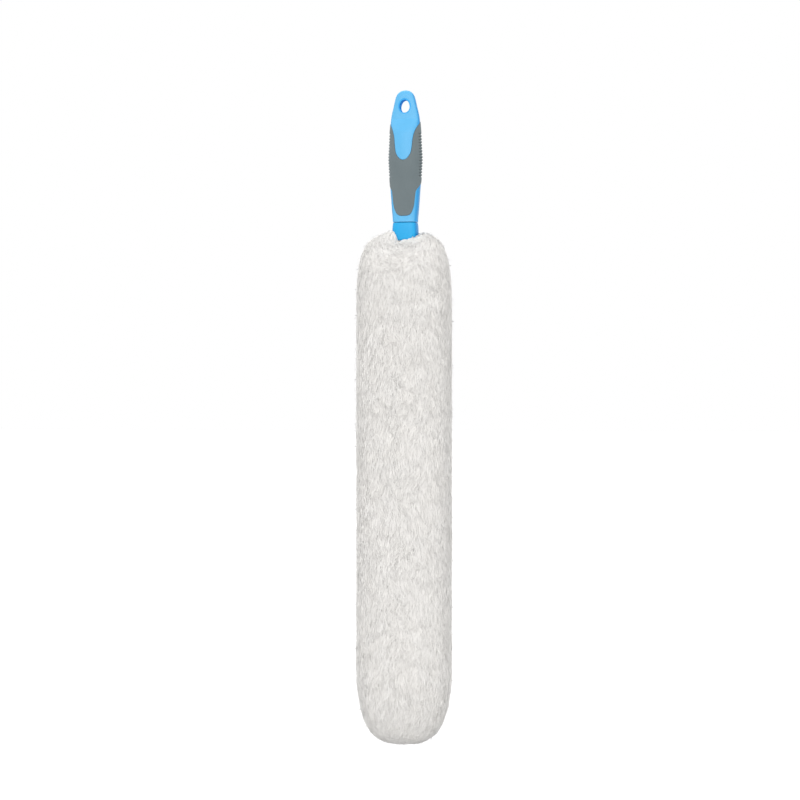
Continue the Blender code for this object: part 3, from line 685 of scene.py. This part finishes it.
cutter = mesh_piece("hole_cutter", *closed_skin(hole_rings()))
cut = handle.modifiers.new("cut", "BOOLEAN")
cut.operation, cut.solver, cut.object = "DIFFERENCE", "EXACT", cutter
graph = bpy.context.evaluated_depsgraph_get()
with_hole = bpy.data.meshes.new_from_object(handle.evaluated_get(graph))
handle.modifiers.clear()
handle.data = with_hole
bpy.data.objects.remove(cutter)
handle.data.shade_smooth()
fitted(handle, SHARP_EDGE, handle_blue, "handle", "handle_body")

# %% [markdown]
# ## The soft grip
#
# The grip is the second shot: rubber-like plastic that fills the recess and stands a little proud
# of the hard skin, with a rolled rim. Fifteen grooves run across each side for the thumb and the
# fingers, and make the fine teeth on the handle's outline. The band is one grid: down its outer
# face, in over the lower rim, up its inner face, and out over the upper rim. The grooves lower the
# outer face along a rounded notch, and run out towards the front and the back.

# %% Grip band
GRIP_DEPTH = 0.00195
GRIP_PROUD = 0.00040
RIM_ROLL = 0.00070
GRIP_ROWS = 330
RIB_COUNT = 15
RIB_PITCH = 0.0030
RIB_HALF = 0.00095
RIB_DEPTH = 0.00110
RIB_FIRST = HANDLE_TOP - HANDLE_LENGTH * 0.334
RIB_ARC = 0.16 * np.pi
GRIP_SHARP = math.radians(60)


def groove_depth(angles, heights):
    """Depth of the nearest groove: a cosine notch across, fading to nothing at both ends."""
    row = np.clip(np.round((RIB_FIRST - heights) / RIB_PITCH), 0, RIB_COUNT - 1)
    beside = np.abs(heights - (RIB_FIRST - row * RIB_PITCH)) / RIB_HALF
    notch = np.where(beside < 1, (1 + np.cos(np.pi * np.minimum(beside, 1))) / 2, 0) ** 0.7
    along = np.abs(from_front(angles) - np.pi / 2) / RIB_ARC
    return RIB_DEPTH * notch * (1 - ramp(along, 0.72, 1.0))


def grip_rings():
    """Rings of the band, down its outer face and back up its inner face."""
    start, end = top_edge - RIM_ROLL * top_steep, end_edge + RIM_ROLL * end_steep
    roll = [(near, GRIP_PROUD - RIM_ROLL + out) for near, out in round_steps(RIM_ROLL, 7)]
    outer = [between(start, end, share) for share in np.linspace(0, 1, GRIP_ROWS)[1:-1]]
    inner = [between(top_edge, end_edge, share) for share in np.linspace(1, 0, 10)[:-1]]
    places = [(top_edge, -GRIP_DEPTH), (top_edge, -RIM_ROLL)]
    places += [(top_edge - near * top_steep, rise) for near, rise in roll]
    places += [(heights, GRIP_PROUD - groove_depth(columns, heights)) for heights in outer]
    places += [(end_edge + near * end_steep, rise) for near, rise in roll[::-1]]
    places += [(end_edge, -RIM_ROLL)] + [(heights, -GRIP_DEPTH) for heights in inner]
    return np.array(handle_rows(places))


grip = mesh_piece("grip_band", *closed_band(grip_rings()))
fitted(grip, GRIP_SHARP, grip_grey, "handle", "grip_overmould")

# %% [markdown]
# ## The head's root
#
# Under the fine parting line sits the root of the head: a collar that carries on the neck's
# section and swells slightly, a plug above it that holds in the handle by four crush ribs, and
# below it, inside the sleeve, the waist for the sleeve's cuff and the start of the flat strip.
# Pulled out, it shows all of that, so it is one fine skin rather than the plain CAD solid.

# %% Root of the head
ROOT_COLUMNS = 144
COLLAR_TOP = NECK_END - 0.0006
COLLAR_END = COLLAR_TOP - 0.0176
COLLAR_BULGE = 0.045
COLLAR_HALF = (HANDLE_WIDTH / 2 * 0.724, HANDLE_DEPTH / 2 * 0.733)
COLLAR_SQUARENESS = 3.6
COLLAR_ROUND = 0.0009
PLUG_LENGTH = 0.0340
PLUG_ROUND = 0.0006
WAIST_END = COLLAR_END - 0.0070
WAIST = (0.0100, 0.0060, 3.0)
STRIP_HALF = (0.0100, 0.0025)
STRIP_SQUARENESS = 8.0
FIRST_HINGE = -0.150
HINGE_GAP = 0.0004
BEND_LIMIT = math.radians(7.5)

root_angles = turns(ROOT_COLUMNS)


def plug_section(height, inset, rib=0.0):
    """Rounded rectangle with two low ridges on each wide face."""
    half = [size - inset for size in PLUG_HALF]
    ring = section(height, *half, SOCKET_SQUARENESS, root_angles)
    beside = np.abs(np.abs(ring[:, 0]) - 0.55 * PLUG_HALF[0]) / 0.0006
    on_face = np.abs(ring[:, 1]) > 0.8 * PLUG_HALF[1]
    ring[:, 1] += np.sign(ring[:, 1]) * rib * np.maximum(1 - beside, 0) * on_face
    return ring


def collar(height, scale=1.0, grown=0.0):
    """The neck's section, scaled and then grown all round."""
    half = [size * scale + grown for size in COLLAR_HALF]
    return section(height, *half, COLLAR_SQUARENESS, root_angles)


def root_rings():
    """Rings of the plug, the collar, the waist and the strip up to the first hinge."""
    crown = COLLAR_TOP + PLUG_LENGTH
    rings = [plug_section(crown, inset) for inset in (0.0030, 0.0012)]
    rings += [plug_section(crown - near, 0.0011 - out) for near, out in round_steps(PLUG_ROUND)]
    walls = np.linspace(crown - 0.0030, COLLAR_TOP + 0.0006, 12)
    rings += [plug_section(height, 0.0, 0.0002) for height in walls]
    rings += [plug_section(COLLAR_TOP, -0.0005), collar(COLLAR_TOP, 0.86)]
    for near, out in round_steps(NECK_ROUND):
        rings.append(collar(COLLAR_TOP - near, grown=out - NECK_ROUND))
    for t in np.linspace(0, 1, 30)[1:-1]:
        height = COLLAR_TOP - 0.0005 - t * (COLLAR_TOP - COLLAR_END - 0.0005 - COLLAR_ROUND)
        rings.append(collar(height, 1 + COLLAR_BULGE * (1 - (2 * t - 1) ** 2)))
    for near, out in round_steps(COLLAR_ROUND)[::-1]:
        rings.append(collar(COLLAR_END + near, grown=out - COLLAR_ROUND))
    waist = np.linspace(COLLAR_END, WAIST_END, 4)
    rings += [section(height, *WAIST, root_angles) for height in waist]
    strip = (*STRIP_HALF, STRIP_SQUARENESS, root_angles)
    last = section(FIRST_HINGE + HINGE_GAP / 2, *strip)
    last[:, 2] += math.tan(BEND_LIMIT / 2) * np.abs(last[:, 1])
    rings += [section(WAIST_END, *strip), last, last * [0.8, 0.02, 1] - [0, 0, 0.0001]]
    return np.array(rings)


root = mesh_piece("head_root", *closed_skin(root_rings()))
fitted(root, SHARP_EDGE, frame_blue, "head_base", "frame_root")

# %% [markdown]
# ## Inside the sleeve
#
# The links of the strip, the soft wire and the bumper cap have their right shapes in the CAD
# model, so they stay and only get finishes. Drawn wire shows fine lines along its length. The
# cuff is knitted elastic: upright ribs crossed by rows of loops, worked out from the angle round
# the waist and from the height.


# %% Wire and elastic
def drawn_wire():
    sheet, place = finish_of("core_wire")
    lines = sheet.noise(sheet.stretched(place, (5200.0, 5200.0, 90.0)), 1.0, 2.0, 0.5)
    colour = sheet.blend(lines, screen(158, 160, 163), screen(200, 202, 205))
    return sheet.coat(colour, 0.26 + lines * 0.2, lines * 0.00002, {"Metallic": 1.0})


def knitted_elastic():
    sheet, place = finish_of("cuff_elastic")
    x, y, z = sheet.axes(place)
    ribs = (x.arctangent(y) * 44.0).sine() * 0.5 + 0.5
    loops = (z * 6300.0 + ribs * 2.0).sine() * 0.5 + 0.5
    fuzz = sheet.noise(place, 900.0, 3.0, 0.6)
    knit = ribs * 0.6 + loops * 0.25 + fuzz * 0.3
    colour = sheet.blend(knit, screen(206, 203, 198), screen(240, 238, 234))
    return sheet.coat(colour, 0.9 - fuzz * 0.1, knit * 0.0004, {})


inner_finishes = {"core_wire": drawn_wire(), "cuff_elastic": knitted_elastic()}
for name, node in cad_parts.items():
    finish = inner_finishes.get(name.rstrip("0123456789_"), frame_blue)
    if not node.material_slots:
        node.data.materials.append(finish)
    for place in node.material_slots:
        place.material = finish
print(len(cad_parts), "CAD nodes have their finishes")

# %% [markdown]
# ## The sleeve's skin
#
# The sleeve is the piece that is seen most: half a metre of off-white microfibre. Its fibres could
# be Blender hair, but hair doesn't export, and a bump on a smooth tube has no fluffy outline. So
# the pile is real geometry: a soft core, and on it tens of thousands of small tapered locks.
#
# All of it hangs on one skin, a function of the angle round the duster and of the way walked down
# it. A table gives four values down the walk: how far the section has changed from the collar's
# outline to the full oval, a scale that closes the tip, and the heights at the sides and at the
# front. Between those two the height follows the squared cosine of the angle. At the mouth the
# fluff also rises and dips round the collar, by a second table over the angle.

# %% Sleeve skin
PILE_HALF = (0.04725, 0.0415)
PILE_SQUARENESS = 2.2
PILE_ASIDE = 0.0014
MOUTH_HALF = (0.01310, 0.00970)
MOUTH_SQUARENESS = 3.6
# Share of the change from the mouth's outline to the full oval, scale, height at the sides, and
# height at the front and the back
WALK_TABLE = np.array([
    (0.000, 1.00, -0.1268, -0.1340), (0.060, 1.00, -0.1262, -0.1351),
    (0.160, 1.00, -0.1262, -0.1370), (0.280, 1.00, -0.1270, -0.1394),
    (0.400, 1.00, -0.1288, -0.1420), (0.560, 1.00, -0.1320, -0.1460),
    (0.700, 1.00, -0.1368, -0.1503), (0.820, 1.00, -0.1452, -0.1554),
    (0.925, 1.00, -0.1590, -0.1644), (0.982, 1.00, -0.1790, -0.1795),
    (1.000, 1.00, -0.2045, -0.2045), (1.000, 1.00, -0.5692, -0.5692),
    (1.000, 0.94, -0.5940, -0.5940), (1.000, 0.83, -0.6142, -0.6142),
    (1.000, 0.62, -0.6289, -0.6289), (1.000, 0.33, -0.6350, -0.6350),
    (1.000, 0.02, -0.6366, -0.6366),
])
# Degrees from the front towards the right, then height of the fluff's edge on the collar
MOUTH_TABLE = np.array([
    (-180, -0.1258), (-140, -0.1250), (-90, -0.1242), (-45, -0.1238), (-20, -0.1284),
    (-9, -0.1350), (3, -0.1329), (21, -0.1310), (60, -0.1300), (100, -0.1270), (140, -0.1258),
    (180, -0.1258),
])
# Waves round the collar, their height and their start, which make the fluff's edge ragged
MOUTH_WAVES = [(13, 0.00050, 1.0), (22, 0.00040, 2.3), (37, 0.00025, 0.7)]

reach = PILE_HALF[0] * WALK_TABLE[:, 0] * WALK_TABLE[:, 1]
walk_steps = np.hypot(np.diff(reach), np.diff(WALK_TABLE[:, 2]))
walk_knots = np.concatenate([[0], np.cumsum(walk_steps)])
walk_length = walk_knots[-1]


def walk_value(walk, column):
    """A column of the walk's table, at this way down."""
    return smooth(walk, walk_knots, WALK_TABLE[:, column])


def mouth_height(angles):
    """Height of the fluff's edge round the collar, without its raggedness."""
    return smooth(np.degrees(wrapped(angles)), MOUTH_TABLE[:, 0], MOUTH_TABLE[:, 1])


def sleeve(angles, walk):
    """Points on the pile's envelope, by the angle from the front and the way walked down."""
    change, scale, side, front = (walk_value(walk, column) for column in range(4))
    near = np.array(rounded(angles, *MOUTH_HALF, MOUTH_SQUARENESS))
    full = np.array(rounded(angles, *PILE_HALF, PILE_SQUARENESS))
    x, y = scale * between(near, full, change)
    facing = np.cos(angles) ** 2
    start = between(WALK_TABLE[0, 2], WALK_TABLE[0, 3], facing)
    ragged = sum(high * np.sin(count * angles + begin) for count, high, begin in MOUTH_WAVES)
    edge = (mouth_height(angles) + ragged - start) * (1 - ramp(change, 0.0, 0.3))
    aside = PILE_ASIDE * ramp(change, 0.0, 1.0)
    return np.stack([x - aside, y, between(side, front, facing) + edge], axis=-1)


def unit(vectors):
    return vectors / np.linalg.norm(vectors, axis=-1, keepdims=True)


def sleeve_normal(angles, walk, turn_step=0.004, walk_step=0.0004):
    """Outward direction: the cross product of a small step down and a small step round."""
    around = sleeve(angles + turn_step, walk) - sleeve(angles - turn_step, walk)
    down = sleeve(angles, walk + walk_step) - sleeve(angles, walk - walk_step)
    return unit(np.cross(down, around))


def lifted(angles, walk, lift):
    """A point this far outside the envelope, or inside it where the lift is negative."""
    return sleeve(angles, walk) + sleeve_normal(angles, walk) * lift[..., None]


print("walk down the sleeve, mm:", mm([walk_length]))

# %% [markdown]
# ## Tufts
#
# Microfibre pile gathers into tufts, about a centimetre apart, because neighbouring fibres cling.
# The pile hangs down, and a few long waves sweep it a little to the left and to the right, as a
# hand does. Each tuft leans with the sweep and slightly its own way. The tufts' centres stand in
# staggered rows with some seeded disorder. Every lock later asks for its nearest tuft, leans with
# it, and draws in towards its tip, which opens the small shadowed gaps between the tufts.

# %% Tuft centres
TUFT_SPACING = 0.0130
ROW_SHARE = 0.87
TUFT_SCATTER = 0.26
TUFT_LEAN = math.radians(5)
TUFT_RISE = 0.00012
TUFT_MARGIN = 0.002
# Waves of the lean: count round the duster, count per metre down it, share of the lean, start
LEAN_WAVES = [
    (2, 17.0, 0.55, 0.4), (-3, 29.0, 0.55, 2.0), (5, 21.0, 0.40, 4.1), (-4, 47.0, 0.40, 1.3),
]
LEAN_REACH = math.radians(12)
random = np.random.default_rng(7)


def girth(walk):
    """Rough way once round the envelope."""
    change, scale = walk_value(walk, 0), walk_value(walk, 1)
    wide, deep = (between(near, full, change) for near, full in zip(MOUTH_HALF, PILE_HALF))
    return 2 * np.pi * scale * np.sqrt((wide**2 + deep**2) / 2)


def swept(turn, walk):
    """The way that the pile is stroked at a place: its angle away from straight down."""
    waves = [
        share * np.sin(count * turn + 2 * np.pi * rate * walk + start)
        for count, rate, share, start in LEAN_WAVES
    ]
    return LEAN_REACH * sum(waves)


def nearest_tuft(points):
    """Number of the nearest tuft's centre, and the distance to it."""
    squares = (points**2).sum(axis=1)[:, None] + (tuft_centre**2).sum(axis=1)
    gaps = squares - 2 * points @ tuft_centre.T
    nearest = gaps.argmin(axis=1)
    return nearest, np.sqrt(np.maximum(gaps[np.arange(len(points)), nearest], 0))


tuft_rows = np.arange(TUFT_SPACING / 2, walk_length, TUFT_SPACING * ROW_SHARE)
row_counts = np.maximum(np.round(girth(tuft_rows) / TUFT_SPACING), 3).astype(int)
row_number = np.repeat(np.arange(len(tuft_rows)), row_counts)
in_row = np.concatenate([np.arange(count) for count in row_counts])
tuft_turn = 2 * np.pi * (in_row + 0.5 * (row_number % 2)) / row_counts[row_number]
tuft_count = len(in_row)
tuft_walk = tuft_rows[row_number] + random.normal(0, TUFT_SCATTER * TUFT_SPACING, tuft_count)
tuft_walk = np.clip(tuft_walk, TUFT_MARGIN, walk_length - TUFT_MARGIN)
aside = random.normal(0, TUFT_SCATTER, tuft_count) * TUFT_SPACING
tuft_turn = tuft_turn + aside / (girth(tuft_walk) / 6.3)
tuft_lean = swept(tuft_turn, tuft_walk) + random.normal(0, TUFT_LEAN, tuft_count)
tuft_rise = random.normal(0, TUFT_RISE, tuft_count)
tuft_tint = random.uniform(0, 1, tuft_count)
tuft_centre = sleeve(tuft_turn, tuft_walk)
print(tuft_count, "tufts")

# %% [markdown]
# ## Locks of fibre
#
# A lock is a closed, three-sided sliver with three stations: it leaves the core steeply, bends
# over, and lies along the envelope. A base, a low ridge and a point are enough, because there are
# many of them and each is about half a millimetre wide. The roots follow a low-discrepancy
# sequence, which covers the sleeve evenly without the holes that plain chance leaves.

# %% Lock paths
LOCK_COUNT = 140000
PILE_DEPTH = 0.0014
MOUTH_SHARE = 0.40
LOCK_LENGTHS = (0.0100, 0.0170)
LOCK_LEAN = math.radians(16)
LOCK_BOW = 0.0010
LOCK_LIFT = 0.00032
LIFT_LIMITS = (-0.0030, 0.0020)
CLUMP = 0.07
TUFT_TIP = 0.0105
TUFT_DOME = 0.0002
STRAY_SHARE = 0.02
STRAY_START = 0.014
STRAY_LEAN = math.radians(70)
STRAY_LIFT = (-0.0010, 0.0035)
GOLDEN = (0.7548776662, 0.5698402910)


def core_depth(change):
    """The pile is short at the mouth and has its full depth on the body."""
    return PILE_DEPTH * (MOUTH_SHARE + (1 - MOUTH_SHARE) * ramp(change, 0.0, 0.5))


def scatter(spread):
    """A value for each lock, scattered round zero."""
    return random.normal(0, spread, LOCK_COUNT)


def evenly(low, high):
    """A value for each lock, anywhere from low to high."""
    return random.uniform(low, high, LOCK_COUNT)


lock_number = np.arange(LOCK_COUNT)
ladder = np.linspace(0.001, walk_length - 0.004, 4000)
heap = np.cumsum(girth(ladder))
share = (0.5 + lock_number * GOLDEN[0]) % 1
lock_walk = np.interp(share, heap / heap[-1], ladder) + scatter(0.0006)
lock_walk = np.clip(lock_walk, 0.0005, walk_length - 0.0035)
lock_turn = 2 * np.pi * ((0.5 + lock_number * GOLDEN[1]) % 1) + scatter(0.012)
radius = girth(lock_walk) / (2 * np.pi)
lock_length = evenly(*LOCK_LENGTHS)
stray = (random.random(LOCK_COUNT) < STRAY_SHARE) & (lock_walk > STRAY_START)

tuft, tuft_gap = np.empty(LOCK_COUNT, int), np.empty(LOCK_COUNT)
for part in np.array_split(lock_number, 32):
    tuft[part], tuft_gap[part] = nearest_tuft(sleeve(lock_turn[part], lock_walk[part]))
lean = tuft_lean[tuft] + scatter(LOCK_LEAN)
lean = np.where(stray, scatter(STRAY_LEAN), lean)

# Where the lock would end on its own, and where its tuft's tip draws it, round and down
own_round, own_down = lock_length * np.sin(lean), lock_length * np.cos(lean)
to_tuft = wrapped(tuft_turn[tuft] - lock_turn)
drawn_round = to_tuft * radius + TUFT_TIP * np.sin(tuft_lean[tuft])
drawn_down = tuft_walk[tuft] - lock_walk + TUFT_TIP * np.cos(tuft_lean[tuft])
draw = np.where(stray, 0.0, CLUMP * evenly(0.6, 1.3))
end_round, end_down = between(own_round, drawn_round, draw), between(own_down, drawn_down, draw)
bow = scatter(LOCK_BOW)
dome = TUFT_DOME * (1 - (tuft_gap / (0.55 * TUFT_SPACING)) ** 2)
end_lift = np.clip(dome + tuft_rise[tuft] + scatter(LOCK_LIFT), *LIFT_LIMITS)
end_lift = np.where(stray, evenly(*STRAY_LIFT), end_lift)
lock_tint = 0.5 + 0.4 * (tuft_tint[tuft] - 0.5) + evenly(-0.2, 0.2)
print(LOCK_COUNT, "locks,", int(stray.sum()), "of them stray")

# %% Lock meshes
LOCK_STATIONS = np.array([0.0, 0.34, 1.0])
LOCK_RISE = np.array([0.0, 0.88, 1.0])
LOCK_GIRTH = np.array([0.00030, 0.00036])
LOCK_FLATNESS = 0.30
OWN_SHADE = 0.30


def lock_points(pick):
    """The stations of the picked locks, and the direction outwards at each."""
    sideways = (end_round / radius)[pick, None] * LOCK_STATIONS
    sideways[:, 1] += (bow / radius)[pick]
    turn = lock_turn[pick, None] + sideways
    walk = lock_walk[pick, None] + end_down[pick, None] * LOCK_STATIONS
    walk = np.clip(walk, 0.0003, walk_length - 0.0005)
    depth = core_depth(walk_value(lock_walk[pick, None], 0))
    lift = -depth + (depth + end_lift[pick, None]) * LOCK_RISE
    return lifted(turn, walk, lift), sleeve_normal(turn, walk)


def lock_normals(points, outward):
    """Shading directions of the locks' points: mostly the pile's own outward direction, because
    light that scatters among fine fibres leaves the pile as if from one soft surface."""
    rings = points[:, :6].reshape(len(points), 2, 3, 3)
    own = unit(rings - rings.mean(axis=2, keepdims=True)) * OWN_SHADE
    soft = unit(own + outward[:, :2, None] * (1 - OWN_SHADE))
    return np.concatenate([soft.reshape(len(points), 6, 3), outward[:, 2:]], axis=1).reshape(-1, 3)


def lock_shell(points, outward, width):
    """Three-sided slivers round rows of three stations, whose last one is the point. Each ring
    lies across the lock's own direction: a low ridge outwards over a flat base."""
    ahead = unit(np.gradient(points, axis=1))
    beside = unit(np.cross(ahead, outward))
    out = np.cross(beside, ahead)
    angle = np.pi / 2 + turns(3)
    girths = LOCK_GIRTH[:, None] * width[:, None, None]
    sideways = (girths * np.cos(angle))[..., None] * beside[:, :2, None]
    upwards = (girths * np.sin(angle) * LOCK_FLATNESS)[..., None] * out[:, :2, None]
    rings = (points[:, :2, None] + sideways + upwards).reshape(len(points), 6, 3)
    vertices = np.concatenate([rings, points[:, 2:]], axis=1)
    first = 7 * np.arange(len(points))[:, None, None]
    side = np.arange(3)
    after = (side + 1) % 3
    quads = np.stack([side, side + 3, after + 3, after], axis=-1) + first
    tips = np.stack([side + 3, 0 * side + 6, after + 3], axis=-1) + first
    root = np.array([[2, 0, 1]]) + first
    ends = np.concatenate([tips.reshape(-1, 3), root.reshape(-1, 3)])
    return vertices.reshape(-1, 3), quads.reshape(-1, 4), ends


print("half widths of a lock, mm:", [round(1000 * half, 2) for half in LOCK_GIRTH.tolist()])

# %% [markdown]
# ## A map for the colours
#
# The export bakes every finish into a picture through a UV map. Tens of thousands of locks can't
# each have their own patch, so the map is a chart of the finish instead: across it runs the lock's
# tint, and up it runs the way from root to tip. Locks that share a tint lie on top of each other
# there and want the same colour, so nothing is lost. The core has the strip below, laid out by its
# own rows and columns. The finish reads the same chart.

# %% Chart
CHART = "OFBake"
CORE_EDGE = 0.02
CORE_TOP = 0.30
LOCK_EDGE = 0.04
LOCK_ROOT = 0.36
LOCK_TIP = 0.98
SIDE_WIDTH = 0.016
FAN_LEVELS = (CORE_TOP - 0.02, CORE_TOP - 0.005)
STATION_SHARE = np.array([0.0, 0.45, 1.0])


def laid(*corners):
    """Map corners of many faces at once, from u and v of each corner in turn."""
    pairs = [np.stack(np.broadcast_arrays(u, v), axis=-1) for u, v in corners]
    return np.stack(pairs, axis=-2).reshape(-1, 2)


def lock_chart(tint):
    """Map corners of each lock's quads, tips and root."""
    middle = LOCK_EDGE + (1 - 2 * LOCK_EDGE) * tint
    left = middle[:, None] + SIDE_WIDTH * (np.arange(3) - 1.5)
    right = left + SIDE_WIDTH
    root, bend, tip = LOCK_ROOT + (LOCK_TIP - LOCK_ROOT) * STATION_SHARE
    return [
        laid((left, root), (left, bend), (right, bend), (right, root)),
        laid((left, bend), ((left + right) / 2, tip), (right, bend)),
        laid((middle - 0.01, root), (middle + 0.01, root), (middle, root + 0.02)),
    ]


def core_chart(rows, columns, band):
    """Map corners of a core's quads, and of its two fans where it isn't a band."""
    across = np.arange(columns + 1) / columns * (1 - 2 * CORE_EDGE) + CORE_EDGE
    upright = 0.01 + FAN_LEVELS[0] * np.arange(rows + 1)[:, None] / (rows + 1)
    last = rows if band else rows - 1
    left, right = across[:-1], across[1:]
    low, high = upright[:last], upright[1 : last + 1]
    quads = laid((left, low), (left, high), (right, high), (right, low))
    if band:
        return [quads]
    middle, (foot, pole) = (left + right) / 2, FAN_LEVELS
    top = laid((middle, pole), (left, foot), (right, foot))
    return [quads, top, laid((left, foot), (middle, pole), (right, foot))]


print("on the map the core ends at", CORE_TOP, "and the locks start at", LOCK_ROOT)

# %% [markdown]
# ## The fibre's finish
#
# Microfibre scatters light within the pile, so it has no shine of its own, only a soft sheen, and
# its colour is warm off-white. Towards the roots it is a little darker, which is painted shade for
# the shadow deep in the pile. Locks differ slightly in tint. The core below has the roots' painted
# shade with a fine fibrous bump.


# %% Fibre finish
def microfibre():
    sheet, place = finish_of("microfibre")
    tint, up = sheet.axes(sheet.add("ShaderNodeUVMap", {"uv_map": CHART}), "XY")
    on_core = 1 - (up > (CORE_TOP + LOCK_ROOT) / 2)
    fuzz = sheet.noise(sheet.stretched(place, (1.0, 1.0, 0.35)), 900.0, 3.0, 0.6)
    tipward = sheet.fade(up, LOCK_ROOT, 0.80)
    # Painted shade: the roots' colour is a little darker than the tips', and the core takes it too.
    root_painted_shade = sheet.blend(tint, screen(240, 237, 232), screen(245, 243, 239))
    light = sheet.blend(tint, screen(242, 239, 234), screen(247, 245, 242))
    core = sheet.blend(fuzz, screen(240, 237, 232), screen(246, 244, 240))
    colour = sheet.blend(on_core, sheet.blend(tipward, root_painted_shade, light), core)
    soft = {"Sheen Weight": 0.6, "Sheen Roughness": 0.5, "Specular IOR Level": 0.2}
    return sheet.coat(colour, 0.92 - tipward * 0.12, fuzz * on_core * 0.0008, soft)


fibre = microfibre()
print("fibre finish:", fibre.name)

# %% [markdown]
# ## Sleeve lengths
#
# The head bends at twelve hinges, so the sleeve is made in thirteen lengths. Each of the first
# twelve is centred on a hinge and keeps its place in the frame. The last one is the round end,
# which rides on the last link. A length has a core, which is a closed tube with a bore for what is
# inside, and the locks that are rooted on it.

# %% Cores
CORE_COLUMNS = 150
LINK_PITCH = 0.040
LINK_COUNT = 12
FIRST_CUT = FIRST_HINGE + LINK_PITCH / 2
CORE_ROWS = (36, 27, 34)
PRESS = 0.0006
SLEEVE_GAP = 0.0005
STRIP_BORE = (STRIP_HALF[0] + SLEEVE_GAP, STRIP_HALF[1] + SLEEVE_GAP, STRIP_SQUARENESS)
CUFF_BORE = (0.0128, 0.0094, 3.2)
CUFF_LEVEL = WAIST_END - 0.0004
CAP_BORE = (0.0128, 0.0053, 4.0)
CAP_TOP = -0.604
# The bore's round end under the cap, from the bottom up
CAP_END = [
    (-0.6216, 0.0056, 0.0025, 4.0), (-0.6201, 0.0096, 0.0040, 4.0),
    (-0.6174, 0.0121, 0.0050, 4.0), (-0.6124, *CAP_BORE),
]

core_angles = turns(CORE_COLUMNS)
body_ladder = np.linspace(0, walk_length, 6000)
body_ladder = body_ladder[body_ladder > 0.02]
body_heights = walk_value(body_ladder, 2)


def walk_at(height):
    """Walk at which the body reaches this height, below the shoulder."""
    return float(np.interp(-height, -body_heights, body_ladder))


def outer_rows(start, end, rows):
    """Rings of the core's outside, pressed in between the tufts."""
    walk = np.linspace(start, end, rows)[:, None] + 0 * core_angles
    turn = core_angles + 0 * walk
    change = walk_value(walk, 0)
    gap = nearest_tuft(sleeve(turn, walk).reshape(-1, 3))[1].reshape(walk.shape)
    press = PRESS * ramp(gap, 0.3 * TUFT_SPACING, 0.75 * TUFT_SPACING)
    return lifted(turn, walk, -core_depth(change) - press * ramp(change, 0.3, 0.8))


def bore_rows(*places):
    """Rings of the bore from the bottom up: height, half width, half depth, squareness."""
    return np.array([section(*place, core_angles) for place in places])


def core_of(number):
    """Rings of one core, whether it closes on itself, and its range of the walk."""
    top = FIRST_CUT - number * LINK_PITCH
    end = top - LINK_PITCH
    if number == LINK_COUNT:
        start = walk_at(top)
        outer = outer_rows(start, walk_length - 0.0015, CORE_ROWS[2])
        bore = bore_rows(*CAP_END, (top, *CAP_BORE))
        return np.concatenate([bore, outer]), False, (start, walk_length)
    stop = walk_at(end)
    if number == 0:
        start, outer = 0.0, outer_rows(0.0006, stop, CORE_ROWS[0])
        levels = [(end, *STRIP_BORE), (CUFF_LEVEL, *STRIP_BORE), (CUFF_LEVEL, *CUFF_BORE)]
        bore = bore_rows(*levels, (0, *CUFF_BORE))
        bore[-1, :, 2] = np.minimum(outer[0][:, 2], CUFF_LEVEL + 0.006)
    else:
        start = walk_at(top)
        outer = outer_rows(start, stop, CORE_ROWS[1])
        bore = bore_rows((end, *STRIP_BORE), (top, *STRIP_BORE))
        if end < CAP_TOP:
            shelf = [(CAP_TOP + 0.0010, *CAP_BORE), (CAP_TOP + 0.0016, *STRIP_BORE)]
            bore = bore_rows((end, *CAP_BORE), *shelf, (top, *STRIP_BORE))
    return np.concatenate([outer, bore]), True, (start, stop)


# %% Thirteen lengths of sleeve
pile_nodes = ["pile_shoulder"] + [f"pile_{n:02d}" for n in range(1, LINK_COUNT)] + ["pile_tip"]
bodies = ["head_base"] + [f"link_{n:02d}" for n in range(1, LINK_COUNT + 1)]


def sleeve_piece(number):
    """One length: its core and the locks rooted on it, as one mesh with its chart."""
    rings, band, (start, stop) = core_of(number)
    core, groups = closed_band(rings) if band else closed_skin(rings)
    pick = np.flatnonzero((lock_walk >= start) & (lock_walk < stop))
    stations, outward = lock_points(pick)
    width = random.uniform(0.75, 1.25, len(pick)) * np.where(stray[pick], 0.7, 1.0)
    locks, quads, ends = lock_shell(stations, outward, width)
    groups += [quads + len(core), ends + len(core)]
    piece = mesh_piece(f"pile_fluff_{number:02d}", np.concatenate([core, locks]), groups)
    chart = np.concatenate(core_chart(*rings.shape[:2], band) + lock_chart(lock_tint[pick]))
    layer = piece.data.uv_layers.new(name=CHART)
    layer.data.foreach_set("uv", chart.astype(np.float32).ravel())
    normals = np.empty(len(piece.data.vertices) * 3)
    piece.data.vertices.foreach_get("normal", normals)
    normals = normals.reshape(-1, 3)
    normals[len(core) :] = lock_normals(locks.reshape(len(pick), 7, 3), outward)
    piece.data.normals_split_custom_set_from_vertices(normals)
    piece.data.materials.append(fibre)
    return told(piece)


for number in range(LINK_COUNT):
    length = sleeve_piece(number)
    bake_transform(length)
    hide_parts(*pile_nodes[number : number + 2])
round_end = sleeve_piece(LINK_COUNT)
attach(round_end, bodies[-1])
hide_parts(pile_nodes[-1])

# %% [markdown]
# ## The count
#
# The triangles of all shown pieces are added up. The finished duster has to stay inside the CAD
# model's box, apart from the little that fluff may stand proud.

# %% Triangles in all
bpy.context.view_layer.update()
total = sum(triangles(piece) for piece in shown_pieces() if piece.type == "MESH")
print(total, "triangles in all")
